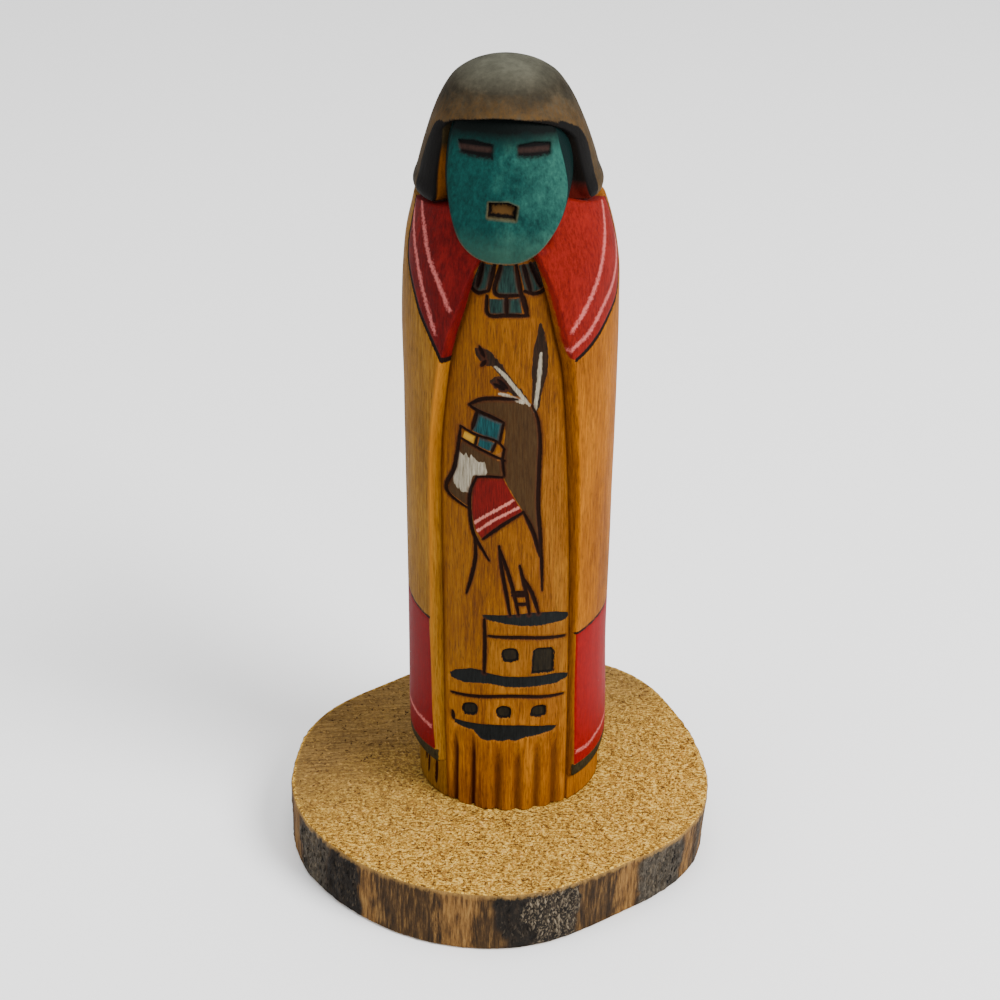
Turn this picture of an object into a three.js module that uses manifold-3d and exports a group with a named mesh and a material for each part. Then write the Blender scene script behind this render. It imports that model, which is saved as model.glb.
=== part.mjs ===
// A carved and painted kachina doll of cottonwood root, glued on a slice of branch.
// Millimetres, +Z up, the doll looks towards -Y, origin under the middle of the slice.
import * as THREE from 'three';
import { mergeVertices } from 'three/addons/utils/BufferGeometryUtils.js';
import Module from 'manifold-3d';

// Branch slice
const SLICE_THICKNESS = 13;
const SLICE_RADIUS = 44.9;
// The rim wanders as a branch does: waves round the rim, height, angle of the crest.
const SLICE_WAVES = [
  [1, 0.45, 50],
  [2, 1.15, 53],
  [3, 0.7, 70],
  [4, 0.8, 73],
  [5, 0.35, 51],
  [6, 0.4, 38],
  [7, 0.2, 51],
  [8, 0.2, 13],
];
// The sawn rim isn't square: angle, how far the underside stands out there, spread of the place.
const RIM_SLOPES = [
  [262, 2.1, 49],
  [298, -1.8, 75],
];
const RIM_SLOPE_END = 1.2;
const RIM_SLOPE_MIDDLE = 0.55;
const SLICE_EDGE_BREAK = 0.5;
const SLICE_SEGMENTS = 72;

// Where the doll stands on the slice, from the middle of the branch
const DOLL_X = 1.8;
const DOLL_Y = 2.5;

// The doll's blank before carving: height above the slice, radius, sideways lean
const BLANK = [
  [0, 20.3, -0.1],
  [12, 20.7, -0.25],
  [30, 20.5, -0.35],
  [60, 20.7, -0.15],
  [90, 21.0, 0.1],
  [108, 21.0, 0.15],
  [116, 20.7, 0.25],
  [122.4, 19.85, 0.1],
  [127, 18.75, 0],
  [130.9, 17.65, -0.1],
];
// The hood of hair starts with a small step and closes into a blunt dome.
const HOOD = [
  [131.6, 17.9, -0.3],
  [135.2, 17.05, -0.4],
  [138.4, 16.15, -0.45],
  [141.5, 15.2, -0.45],
  [144.6, 14.1, -0.5],
  [147.4, 12.9, -0.6],
  [150.0, 11.45, -0.8],
  [152.1, 9.85, -0.9],
  [153.7, 7.6, -0.9],
  [154.8, 5.0, -0.9],
];
const DOLL_HEIGHT = 155.7;
const DOLL_SEGMENTS = 64;

// Dress seen between the two edges of the cape: height, radius
const DRESS = [
  [0, 18.95],
  [14, 18.95],
  [40, 18.8],
  [70, 18.6],
  [95, 18.3],
  [110, 17.9],
  [118, 17.5],
  [127, 16.8],
];
// Edges of the cape: height, angle from the front
const CAPE_EDGE_LEFT = [
  [0, -44.5],
  [11, -45.5],
  [36, -47.5],
  [60, -47],
  [71, -45],
  [82.5, -43],
  [93.5, -40],
  [102.5, -37],
  [106, -33.5],
  [111, -28.5],
  [118, -22],
  [122, -17.5],
  [127, -10],
];
const CAPE_EDGE_RIGHT = [
  [0, 42],
  [20, 43.5],
  [35, 44],
  [49, 43.5],
  [63, 42.5],
  [77, 40.5],
  [90, 38],
  [100.7, 34.5],
  [107.3, 29],
  [113.7, 24],
  [120, 18],
  [123.8, 13],
  [127, 8],
];
// Folds cut in the foot of the dress: distance from the axis, depth
const FOLDS = [
  [-11.7, 0.7],
  [-7.7, 0.9],
  [-2.6, 0.6],
  [2.8, 0.8],
  [6.5, 0.7],
  [10.6, 0.8],
];
const FOLD_TOP = 18;
const FOLD_HALF_ANGLE = 2.2;

// Skirt below the hem of the cape; the hem as angle, height
const SKIRT_RADIUS = 19.0;
const HEM = [
  [-180, 9.6],
  [-110, 10.2],
  [-77, 10.2],
  [-49, 9.0],
  [0, 7.4],
  [42, 5.9],
  [55, 6.3],
  [66, 7.2],
  [76, 8.4],
  [110, 9.2],
  [180, 9.6],
];
const HEM_UNDERCUT = 0.6;
const HEM_SEGMENTS = 56;

// Face: a slab that leans back under the brow
// Its middle: height, distance in front of the axis
const FACE_FRONT = [
  [118, 20.6],
  [121.5, 20.8],
  [124, 20.6],
  [128, 19.7],
  [132, 18.5],
  [136, 16.9],
  [140, 15.1],
  [144, 13.1],
  [147.5, 11.1],
  [150, 9.6],
];
// It rounds away to both sides: height, radius across
const FACE_ROUND = [
  [122, 30],
  [134, 20],
  [148, 15],
];
const FACE_BACK_Y = -2;
const FACE_BEVEL = 0.8;
const FACE_BEVEL_DEPTH = 0.56;
const FACE_DRAFT = 1.2;
const FACE_SIDE_DEPTH = 2.4;
const FACE_MIDDLE = [-0.3, 136];
// Outline of the slab: across, height
const FACE_OUTLINE = [
  [-1.2, 123.1],
  [2.3, 123.5],
  [4.3, 124.5],
  [5.9, 125.8],
  [7.7, 127.8],
  [9.5, 130.7],
  [10.5, 133.2],
  [10.9, 136.0],
  [10.7, 139.4],
  [10.0, 143.5],
  [8.7, 148.4],
  [5.0, 150.0],
  [-5.4, 150.0],
  [-9.2, 148.4],
  [-10.9, 143.5],
  [-11.2, 140.5],
  [-11.4, 136.0],
  [-11.2, 133.2],
  [-10.4, 130.0],
  [-8.9, 126.6],
  [-6.8, 124.5],
  [-4.1, 123.4],
];
const EYE_DEPTH = 0.7;
const EYE_LEFT = [[-9.4, 141.6], [-3.2, 141.8], [-3.2, 144.0], [-9.6, 144.2]];
const EYE_RIGHT = [[1.5, 141.9], [7.5, 141.3], [7.7, 143.5], [1.6, 144.1]];
const MOUTH_DEPTH = 1.6;
const MOUTH = [[-4.0, 131.5], [0.8, 131.2], [1.2, 133.7], [-3.9, 134.2]];

// Hollow round the face, between the locks of hair and under the brow
const HOLLOW_FLOOR_Z = 131.4;
const HOLLOW_FLOOR_Y = -8.6;
const HOLLOW_LEAN = 11;
const HOLLOW_OUTLINE = [
  [-14.2, 132.2],
  [-12.0, 133.0],
  [12.0, 133.6],
  [15.3, 131.2],
  [14.2, 137.4],
  [13.0, 143.6],
  [12.0, 144.9],
  [9.4, 146.1],
  [6.8, 147.0],
  [4.2, 147.8],
  [1.7, 148.2],
  [-2.1, 148.3],
  [-7.2, 147.6],
  [-11.0, 146.4],
  [-12.7, 144.9],
  [-13.1, 141.1],
  [-13.8, 137.4],
];

// Cut lines on the dress
const CUT_DEPTH = 0.45;
const LINE_WIDTH = 0.8;
const SMALLEST_EDGE = 0.01;

// Slabs of the necklace and of its pendant, outlined: across, height
const NECKLACE = [
  [[-5.4, 122.0], [-6.6, 117.2], [-5.2, 116.2], [-4.0, 116.6]],
  [[-2.5, 121.6], [-3.4, 117.2]],
  [[-1.6, 121.6], [-2.4, 116.4], [1.5, 116.1], [0.7, 121.6]],
  [[-4.0, 115.6], [-3.7, 111.9], [2.9, 111.9], [2.0, 115.6]],
  [[-0.6, 115.4], [-0.6, 112.2]],
  [[1.3, 121.6], [2.3, 116.9], [4.0, 116.2], [6.5, 117.6], [4.2, 122.2]],
];
// Feathers
const FEATHERS = [
  [[-6.2, 105.0], [-5.3, 102.7], [-1.4, 98.6], [2.6, 94.5], [4.0, 94.3], [2.6, 98.0],
    [-0.7, 102.6], [-4.0, 104.8]],
  [[4.9, 93.1], [4.2, 96.0], [4.5, 101.0], [5.1, 107.6], [6.0, 109.2], [7.2, 106.0], [7.1, 100.0],
    [6.3, 94.4]],
  [[-4.0, 98.9], [-3.0, 97.5], [-0.9, 96.2], [1.2, 95.4], [-0.4, 97.2], [-2.2, 99.0]],
];
// Profile figure on the front of the dress: hair, mask, ruff, shawl and falling cloth
const FIGURE = [
  [[-7.9, 93.4], [-4.6, 95.0], [0.2, 95.3], [3.9, 93.5], [5.7, 89.8], [6.0, 84.0], [5.8, 75.0],
    [6.3, 64.0],
    [6.5, 52.8]],
  [[-7.9, 93.4], [-5.4, 91.6], [-1.4, 90.2], [-1.9, 86.3]],
  [[-5.4, 91.6], [-7.0, 88.2]],
  [[-9.2, 88.0], [-1.3, 84.8]],
  [[-9.4, 85.8], [-1.3, 83.1]],
  [[-6.3, 87.0], [-6.6, 85.0]],
  [[-3.0, 85.3], [-3.6, 84.0]],
  [[-9.2, 88.0], [-10.0, 82.0], [-12.3, 73.5], [-8.2, 71.0]],
  [[-1.4, 78.6], [-5.6, 78.2], [-7.3, 76.4], [-7.8, 71.0], [-7.2, 66.0], [-4.3, 60.2]],
  [[-5.4, 64.8], [-1.6, 68.2], [2.6, 71.0], [4.4, 67.0], [6.2, 59.6]],
  [[-7.0, 65.0], [-7.1, 58.0], [-8.6, 51.9]],
];
const LADDER = [
  [[-1.9, 63.4], [-1.6, 58.6], [0.3, 48.2]],
  [[-1.5, 62.4], [0.0, 56.0], [2.5, 48.2]],
  [[2.6, 56.8], [3.2, 52.4], [4.1, 48.2]],
  [[2.1, 59.6], [4.0, 51.6], [6.0, 48.2]],
];
const LADDER_RUNGS = [
  [[1.0, 53.2], [3.3, 53.0], [3.5, 51.9], [1.3, 52.0]],
  [[1.9, 50.4], [3.8, 50.3], [4.0, 49.3], [2.2, 49.4]],
];
// Stepped house of three roofs, its lines, windows and door
const ROOFS = [
  [[-5.1, 47.1], [-3.9, 46.4], [-1.3, 45.9], [2.5, 45.3], [8.6, 44.8], [11.1, 44.6], [11.9, 45.7],
    [6.9, 47.5],
    [2.5, 47.9], [-1.3, 48.0]],
  [[-11.5, 31.4], [-9.1, 30.9], [-3.9, 31.7], [2.5, 31.3], [9.7, 30.5], [12.0, 31.1], [9.0, 33.0],
    [4.5, 33.2],
    [-1.3, 33.7], [-5.8, 34.4], [-7.8, 34.3], [-10.9, 32.5]],
  [[-11.3, 20.7], [-10.5, 19.3], [-8.2, 19.6], [-6.5, 18.7], [-3.9, 17.9], [-1.3, 18.8],
    [2.6, 18.9], [5.9, 19.1],
    [8.5, 19.0], [9.8, 20.5], [2.6, 22.0], [-3.9, 21.8]],
];
const HOUSE_LINES = [
  [[-5.0, 46.4], [-5.0, 40.8], [-5.2, 33.8]],
  [[-4.2, 43.0], [2.5, 42.4], [11.3, 40.9]],
  [[-11.6, 26.9], [-5.8, 28.2], [0.6, 28.7], [10.7, 27.3]],
];
const HOUSE_WINDOWS = [
  [[-1.4, 37.2], [1.9, 37.2], [1.8, 40.0], [-1.3, 39.7]],
  [[4.7, 34.0], [9.2, 33.6], [9.0, 38.7], [8.2, 39.6], [5.5, 39.8]],
  [[-9.4, 23.4], [-6.2, 24.1], [-6.2, 26.4], [-9.1, 25.6]],
  [[-2.3, 24.0], [0.6, 23.8], [0.7, 26.4], [-2.1, 26.3]],
  [[4.5, 24.2], [7.8, 23.5], [7.9, 25.7], [5.0, 26.2]],
];
const LINE_LAP = 0.6;

// How far the cutting bodies reach past the wood they cut
const OUTSIDE_RADIUS = 26;
const IN_FRONT_Y = -30;
const DRESS_BEHIND_Y = -10;
const BELOW_FOOT = -2;
const FLOOR_SEGMENTS = 48;

const rad = THREE.MathUtils.degToRad;

function at(table, x) {
  if (x <= table[0][0]) {
    return table[0].slice(1);
  }
  for (let i = 1; i < table.length; i++) {
    const [x0, ...v0] = table[i - 1];
    const [x1, ...v1] = table[i];
    if (x <= x1) {
      return v0.map((v, k) => v + (v1[k] - v) * (x - x0) / (x1 - x0));
    }
  }
  return table[table.length - 1].slice(1);
}

function geometryFrom(points, triangles) {
  const geometry = new THREE.BufferGeometry();
  geometry.setAttribute('position', new THREE.Float32BufferAttribute(points.flat(), 3));
  geometry.setIndex(triangles.flat());
  return geometry;
}

// Rings run counter-clockwise seen from above, lowest ring first.
function loft(rings, top = null) {
  const points = rings.flat();
  const n = rings[0].length;
  const triangles = [];
  for (let k = 0; k + 1 < rings.length; k++) {
    for (let i = 0; i < n; i++) {
      const a = k * n + i;
      const b = k * n + (i + 1) % n;
      triangles.push([a, b, b + n], [a, b + n, a + n]);
    }
  }
  const flat = (ring) => ring.map(([x, y]) => new THREE.Vector2(x, y));
  for (const [a, b, c] of THREE.ShapeUtils.triangulateShape(flat(rings[0]), [])) {
    triangles.push([c, b, a]);
  }
  const last = (rings.length - 1) * n;
  if (top) {
    points.push(top);
    for (let i = 0; i < n; i++) {
      triangles.push([last + i, last + (i + 1) % n, points.length - 1]);
    }
  } else {
    for (const [a, b, c] of THREE.ShapeUtils.triangulateShape(flat(rings[rings.length - 1]), [])) {
      triangles.push([last + a, last + b, last + c]);
    }
  }
  return geometryFrom(points, triangles);
}

// A straight-sided body that shows its outline (across, height) to the front.
function frontPrism(outline, front, back) {
  let contour = outline.map(([x, z]) => new THREE.Vector2(x, z));
  if (THREE.ShapeUtils.isClockWise(contour)) {
    contour = contour.reverse();
  }
  const n = contour.length;
  const points = contour.map((p) => [p.x, front(p.y, p.x), p.y]);
  points.push(...contour.map((p) => [p.x, back(p.y, p.x), p.y]));
  const triangles = [];
  for (const [a, b, c] of THREE.ShapeUtils.triangulateShape(contour, [])) {
    triangles.push([a, b, c], [c + n, b + n, a + n]);
  }
  for (let i = 0; i < n; i++) {
    const j = (i + 1) % n;
    triangles.push([i, i + n, j + n], [i, j + n, j]);
  }
  return geometryFrom(points, triangles);
}

// Bars of even width, one between each two points of a line, lapped at the corners.
function bars(line, width) {
  return line.slice(1).map(([x1, z1], i) => {
    const [x0, z0] = line[i];
    const along = new THREE.Vector2(x1 - x0, z1 - z0).normalize().multiplyScalar(width / 2);
    const [dx, dz] = [along.x, along.y];
    return [
      [x0 - dx * LINE_LAP + dz, z0 - dz * LINE_LAP - dx],
      [x1 + dx * LINE_LAP + dz, z1 + dz * LINE_LAP - dx],
      [x1 + dx * LINE_LAP - dz, z1 + dz * LINE_LAP + dx],
      [x0 - dx * LINE_LAP - dz, z0 - dz * LINE_LAP + dx],
    ];
  });
}

function ringOf(radiusAt, z, segments, lean = 0) {
  return Array.from({ length: segments }, (_, i) => {
    const angle = 2 * Math.PI * i / segments;
    const r = radiusAt(angle);
    return [lean + r * Math.cos(angle), r * Math.sin(angle), z];
  });
}

const wasm = await Module();
wasm.setup();

function solid(geometry) {
  const welded = mergeVertices(geometry, 1e-5);
  return new wasm.Manifold(new wasm.Mesh({
    numProp: 3,
    vertProperties: new Float32Array(welded.attributes.position.array),
    triVerts: new Uint32Array(welded.index.array),
  }));
}

function surfaceOf(manifold) {
  const mesh = manifold.getMesh();
  const geometry = new THREE.BufferGeometry();
  geometry.setAttribute('position', new THREE.BufferAttribute(Float32Array.from(mesh.vertProperties), 3));
  geometry.setIndex(new THREE.BufferAttribute(Uint32Array.from(mesh.triVerts), 1));
  geometry.computeVertexNormals();
  return geometry;
}

function together(solids) {
  return solids.reduce((sum, next) => sum.add(next));
}

// Branch slice
function sliceRadius(angle) {
  return SLICE_WAVES.reduce(
    (r, [count, height, crest]) => r + height * Math.cos(count * (angle - rad(crest))), SLICE_RADIUS);
}

function rimSlope(angle) {
  return RIM_SLOPES.reduce((out, [place, reach, spread]) => {
    const away = THREE.MathUtils.euclideanModulo(angle - rad(place) + Math.PI, 2 * Math.PI) - Math.PI;
    return out + reach * Math.exp(-((away / rad(spread)) ** 2));
  }, 0);
}

// Height, share of the slope, how far the broken edge stands in
const rimProfile = [
  [0, 1, SLICE_EDGE_BREAK],
  [RIM_SLOPE_END, 1, 0],
  [SLICE_THICKNESS / 2, RIM_SLOPE_MIDDLE, 0],
  [SLICE_THICKNESS - SLICE_EDGE_BREAK, 0, 0],
  [SLICE_THICKNESS, 0, SLICE_EDGE_BREAK],
];
const sliceRings = rimProfile.map(([z, share, inset]) => (
  ringOf((a) => sliceRadius(a) + share * rimSlope(a) - inset, z, SLICE_SEGMENTS)));
const sliceGeometry = loft(sliceRings);
sliceGeometry.computeBoundingBox();
const middle = sliceGeometry.boundingBox.getCenter(new THREE.Vector3());
sliceGeometry.translate(-middle.x, -middle.y, 0);
sliceGeometry.computeVertexNormals();

// Doll: the blank
const blankRings = [...BLANK, ...HOOD].map(([z, r, lean]) => ringOf(() => r, z, DOLL_SEGMENTS, lean));
const blank = solid(loft(blankRings, [HOOD[HOOD.length - 1][2], 0, DOLL_HEIGHT]));

// The cape stands open at the front: a wedge is taken out down to the dress.
const foldAngles = FOLDS.map(([x]) => THREE.MathUtils.radToDeg(Math.asin(x / DRESS[0][1])));

function dressRadius(angle, z) {
  const fade = THREE.MathUtils.clamp(1 - z / FOLD_TOP, 0, 1);
  const cut = FOLDS.reduce((sum, [, depth], i) => {
    const away = Math.abs(angle - foldAngles[i]) / FOLD_HALF_ANGLE;
    return sum + depth * Math.max(0, 1 - away);
  }, 0);
  return at(DRESS, z)[0] - cut * Math.sqrt(fade);
}

function dressAngles() {
  const list = [CAPE_EDGE_LEFT[0][1], CAPE_EDGE_RIGHT[0][1]];
  foldAngles.forEach((angle, i) => {
    list.push(angle - FOLD_HALF_ANGLE, angle, angle + FOLD_HALF_ANGLE);
    if (i > 0) {
      list.push((angle + foldAngles[i - 1]) / 2);
    }
  });
  return list.sort((p, q) => p - q);
}

function onForm(radius, degrees, z) {
  return [radius * Math.sin(rad(degrees)), -radius * Math.cos(rad(degrees)), z];
}

function openingRing(z) {
  const left = at(CAPE_EDGE_LEFT, z)[0];
  const right = at(CAPE_EDGE_RIGHT, z)[0];
  const foot = dressAngles();
  const span = foot[foot.length - 1] - foot[0];
  const inner = foot.map((angle) => {
    const degrees = left + (right - left) * (angle - foot[0]) / span;
    return onForm(dressRadius(degrees, z), degrees, z);
  });
  const outer = [0, 1, 2, 3, 4].map((i) => onForm(OUTSIDE_RADIUS, left + (right - left) * i / 4, z));
  return [...outer, ...inner.reverse()];
}

const foldHeights = [BELOW_FOOT, 0, 5, 10, 14, 17].map((z) => Math.min(z, FOLD_TOP));
const openingHeights = [...foldHeights, FOLD_TOP, 27, 36, 48, 60, 71, 82.5, 93.5, 98, 102.5, 106, 111,
  114.5, 118, 122, 124.5, 127];
const opening = solid(loft(openingHeights.map(openingRing)));

// Below the hem only the narrower skirt is left.
function hemCut() {
  const rings = [];
  const profile = (hem) => [
    [SKIRT_RADIUS, BELOW_FOOT],
    [OUTSIDE_RADIUS, BELOW_FOOT],
    [OUTSIDE_RADIUS, hem],
    [SKIRT_RADIUS, hem + HEM_UNDERCUT],
  ];
  for (let i = 0; i < HEM_SEGMENTS; i++) {
    const degrees = -180 + 360 * i / HEM_SEGMENTS;
    rings.push(profile(at(HEM, degrees)[0]).map(([r, z]) => onForm(r, degrees, z)));
  }
  const triangles = [];
  rings.forEach((_, k) => {
    const next = (k + 1) % rings.length;
    for (let i = 0; i < 4; i++) {
      const j = (i + 1) % 4;
      triangles.push([k * 4 + i, next * 4 + i, next * 4 + j], [k * 4 + i, next * 4 + j, k * 4 + j]);
    }
  });
  return solid(geometryFrom(rings.flat(), triangles));
}

// Hollow for the face
const hollowBack = (z) => HOLLOW_FLOOR_Y + (z - HOLLOW_FLOOR_Z) * Math.tan(rad(HOLLOW_LEAN));
const hollow = solid(frontPrism(HOLLOW_OUTLINE, () => IN_FRONT_Y, hollowBack));

// Front of the face at a place across and up
function faceFront(x, z) {
  return -at(FACE_FRONT, z)[0] + x * x / (2 * at(FACE_ROUND, z)[0]);
}

function faceSlab() {
  const grown = (grow, depth) => FACE_OUTLINE.map(([x, z]) => {
    const away = new THREE.Vector2(x - FACE_MIDDLE[0], z - FACE_MIDDLE[1]);
    away.setLength(away.length() + grow);
    const [px, pz] = [FACE_MIDDLE[0] + away.x, FACE_MIDDLE[1] + away.y];
    return [px, depth === null ? FACE_BACK_Y : faceFront(px, pz) + depth, pz];
  });
  const rings = [
    grown(FACE_DRAFT, null),
    grown(FACE_DRAFT * 0.4, FACE_SIDE_DEPTH),
    grown(0, FACE_BEVEL_DEPTH),
    grown(-FACE_BEVEL, 0),
    grown(-3.2, 0),
    grown(-5.8, 0),
    grown(-8.2, 0),
  ];
  const n = FACE_OUTLINE.length;
  const points = rings.flat();
  const triangles = [];
  for (let k = 0; k + 1 < rings.length; k++) {
    for (let i = 0; i < n; i++) {
      const a = k * n + i;
      const b = k * n + (i + 1) % n;
      triangles.push([a, b, b + n], [a, b + n, a + n]);
    }
  }
  const last = (rings.length - 1) * n;
  const [middleX, middleZ] = FACE_MIDDLE;
  points.push([middleX, FACE_BACK_Y, middleZ], [middleX, faceFront(middleX, middleZ), middleZ]);
  for (let i = 0; i < n; i++) {
    const j = (i + 1) % n;
    triangles.push([j, i, points.length - 2], [last + i, last + j, points.length - 1]);
  }
  return solid(geometryFrom(points, triangles));
}

// Eyes and mouth are cut square into the face.
const pocket = (outline, depth) => (
  solid(frontPrism(outline, () => IN_FRONT_Y, (z, x) => faceFront(x, z) + depth)));
const pockets = together([
  pocket(EYE_LEFT, EYE_DEPTH),
  pocket(EYE_RIGHT, EYE_DEPTH),
  pocket(MOUTH, MOUTH_DEPTH),
]);

// Cut lines stop at one depth under the dress all over.
const cutFloorRings = [[BELOW_FOOT, DRESS[0][1]], ...DRESS.slice(1)].map(([z, r]) => (
  ringOf(() => r - CUT_DEPTH, z, FLOOR_SEGMENTS)));
const shapes = [...FEATHERS, ...LADDER_RUNGS, ...ROOFS, ...HOUSE_WINDOWS];
const lines = [...NECKLACE, ...FIGURE, ...LADDER, ...HOUSE_LINES].flatMap((line) => bars(line, LINE_WIDTH));
const cutters = [...shapes, ...lines].map((outline) => (
  solid(frontPrism(outline, () => IN_FRONT_Y, () => DRESS_BEHIND_Y))));
const cuts = together(cutters).subtract(solid(loft(cutFloorRings)));

const doll = blank
  .subtract(hollow)
  .subtract(opening)
  .subtract(hemCut())
  .subtract(cuts)
  .add(faceSlab())
  .subtract(pockets)
  .simplify(SMALLEST_EDGE);

const carvedWood = new THREE.MeshStandardMaterial({ color: 0xb8822f, roughness: 0.6, metalness: 0 });
const sliceWood = new THREE.MeshStandardMaterial({ color: 0xc8a06a, roughness: 0.9, metalness: 0 });

const dollMesh = new THREE.Mesh(surfaceOf(doll), carvedWood);
dollMesh.name = 'carved_doll';
dollMesh.position.set(DOLL_X - middle.x, DOLL_Y - middle.y, SLICE_THICKNESS);

const sliceMesh = new THREE.Mesh(sliceGeometry, sliceWood);
sliceMesh.name = 'branch_slice';

const object = new THREE.Group();
object.add(sliceMesh, dollMesh);

export default object;
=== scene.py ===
# %% [markdown]
# A carved and painted kachina doll on a slice of branch
#
# The doll is cut from one block of light, straight-grained root wood. Its maker rounded the block, cut the
# cape, the face and the dress into it, drew lines with a hot point, stained the bare wood and painted the
# rest. It is glued on a sawn slice of branch. All sizes here are millimetres from the doll's own axis until
# a mesh is finished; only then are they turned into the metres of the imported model, which is loaded first
# as a fixed frame.

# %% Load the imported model
import math

import bpy
import numpy as np
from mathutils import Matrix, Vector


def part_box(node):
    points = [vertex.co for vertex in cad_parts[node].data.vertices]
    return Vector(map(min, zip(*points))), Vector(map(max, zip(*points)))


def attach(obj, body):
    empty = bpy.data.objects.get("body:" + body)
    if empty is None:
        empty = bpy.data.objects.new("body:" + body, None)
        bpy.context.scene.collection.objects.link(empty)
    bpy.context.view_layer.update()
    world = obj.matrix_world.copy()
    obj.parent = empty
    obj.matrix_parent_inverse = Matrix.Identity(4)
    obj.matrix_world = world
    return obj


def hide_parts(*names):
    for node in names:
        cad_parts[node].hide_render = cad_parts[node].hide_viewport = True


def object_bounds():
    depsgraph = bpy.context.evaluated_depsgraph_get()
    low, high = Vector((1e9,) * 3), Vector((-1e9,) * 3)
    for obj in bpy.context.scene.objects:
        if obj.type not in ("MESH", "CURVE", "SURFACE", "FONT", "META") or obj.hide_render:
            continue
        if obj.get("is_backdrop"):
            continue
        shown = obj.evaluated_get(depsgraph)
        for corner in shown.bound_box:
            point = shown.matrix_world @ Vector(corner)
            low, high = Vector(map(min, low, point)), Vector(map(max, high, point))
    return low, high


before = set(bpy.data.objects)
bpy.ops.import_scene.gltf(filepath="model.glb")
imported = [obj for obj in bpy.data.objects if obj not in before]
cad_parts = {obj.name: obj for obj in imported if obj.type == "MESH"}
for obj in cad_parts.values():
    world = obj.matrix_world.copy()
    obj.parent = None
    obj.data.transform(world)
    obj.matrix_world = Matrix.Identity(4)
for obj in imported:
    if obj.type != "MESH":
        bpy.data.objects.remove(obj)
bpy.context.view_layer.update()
doll_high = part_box("carved_doll")[1]
slice_low, slice_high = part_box("branch_slice")
MM = 0.001
WIDEST_ACROSS = 21.15
WIDEST_DEEP = 21.0
doll_foot = np.array([doll_high.x / MM - WIDEST_ACROSS, doll_high.y / MM - WIDEST_DEEP, slice_high.z / MM])
print("doll stands at", doll_foot.round(2), "mm")

# %% [markdown]
# Camera
#
# The camera goes where the photograph was taken from: about 40 cm in front of the doll and 30 cm up,
# looking down by 28 degrees. It is made first, so that every later piece can be judged in the right view.

# %% Camera
CAMERA_PLACE = (0.04, -411.6, 296.2)
LOOKS_DOWN = 28
LENS = 83.3
camera = bpy.data.objects.new("camera", bpy.data.cameras.new("camera"))
bpy.context.scene.collection.objects.link(camera)
camera.location = [v * MM for v in CAMERA_PLACE]
camera.rotation_euler = (math.radians(90 - LOOKS_DOWN), 0, 0)
camera.data.lens = LENS
camera.data.sensor_width = 36
bpy.context.scene.camera = camera
print("camera looks down by", LOOKS_DOWN, "degrees through a lens of", LENS, "mm")

# %% [markdown]
# Reading hand-made shapes from short tables
#
# A carver works to a few marks and lets the knife run smoothly between them. A short table of marks and a
# smooth curve through them does the same, and stays easy to change. Lines on the surface are kept as
# distances: how far each point of the mesh is from a line or from the edge of a shape. A distance gives a
# crisp painted edge and a real cut of any profile from one and the same number.

# %% Smooth curves through short tables
def curve(table, at):
    """Height of a smooth curve through the rows (place, height) of a table."""
    rows = np.asarray(table, float)
    xs, ys = rows[:, 0], rows[:, 1]
    slopes = np.gradient(ys, xs)
    at = np.clip(at, xs[0], xs[-1])
    i = np.clip(np.searchsorted(xs, at) - 1, 0, len(xs) - 2)
    span = xs[i + 1] - xs[i]
    t = (at - xs[i]) / span
    start = (1 + 2 * t) * (1 - t) ** 2 * ys[i] + t * (1 - t) ** 2 * span * slopes[i]
    end = t**2 * (3 - 2 * t) * ys[i + 1] + t**2 * (t - 1) * span * slopes[i + 1]
    return start + end


def flowing(line, closed=False, steps=8):
    """The same line with a smooth run through its points, as a hand draws it."""
    points = np.array(line, float)
    if closed:
        points = np.vstack([points[-2:], points, points[:3]])
    lengths = np.hypot(*np.diff(points, axis=0).T)
    along = np.concatenate([[0], np.cumsum(lengths)])
    first, last = (along[2], along[-3]) if closed else (0, along[-1])
    count = steps * len(line) + 1
    places = np.linspace(first, last, count)[: count - closed]
    return np.stack([curve(np.stack([along, points[:, k]], 1), places) for k in (0, 1)], 1)


# %% Distances to lines and shapes
def stroke(x, z, line, width=0.0, taper=0.0):
    """Distance to a line less half its width, which narrows to both ends by the share in taper."""
    points = np.array(line, float)
    lengths = np.hypot(*np.diff(points, axis=0).T)
    so_far = np.concatenate([[0], np.cumsum(lengths)])
    best = np.full(np.shape(x), 1e9)
    for k, length in enumerate(lengths):
        (x0, z0), (x1, z1) = points[k], points[k + 1]
        dx, dz = (x1 - x0) / length, (z1 - z0) / length
        run = np.clip((x - x0) * dx + (z - z0) * dz, 0, length)
        share = np.abs(2 * (so_far[k] + run) / so_far[-1] - 1)
        half = width / 2 * (1 - taper * share**3)
        best = np.minimum(best, np.hypot(x - x0 - run * dx, z - z0 - run * dz) - half)
    return best


def shape(x, z, outline):
    """Distance to the edge of a closed shape, below zero inside it."""
    corners = np.array(outline, float)
    following = np.roll(corners, -1, axis=0)
    inside = np.zeros(np.shape(x), bool)
    for (x0, z0), (x1, z1) in zip(corners, following):
        if z0 != z1:
            inside ^= ((z0 > z) != (z1 > z)) & (x < (x1 - x0) * (z - z0) / (z1 - z0) + x0)
    edge = stroke(x, z, np.vstack([corners, corners[:1]]))
    return np.where(inside, -edge, edge)


def shapes(x, z, outlines):
    """Distance to the edge of the nearest of several closed shapes, below zero inside any of them."""
    return np.min([shape(x, z, outline) for outline in outlines], axis=0)


def ease(value, low, high):
    """0 below low, 1 above high, and a smooth step between; low may be the larger one."""
    t = np.clip((value - low) / (high - low), 0, 1)
    return t * t * (3 - 2 * t)


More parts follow.
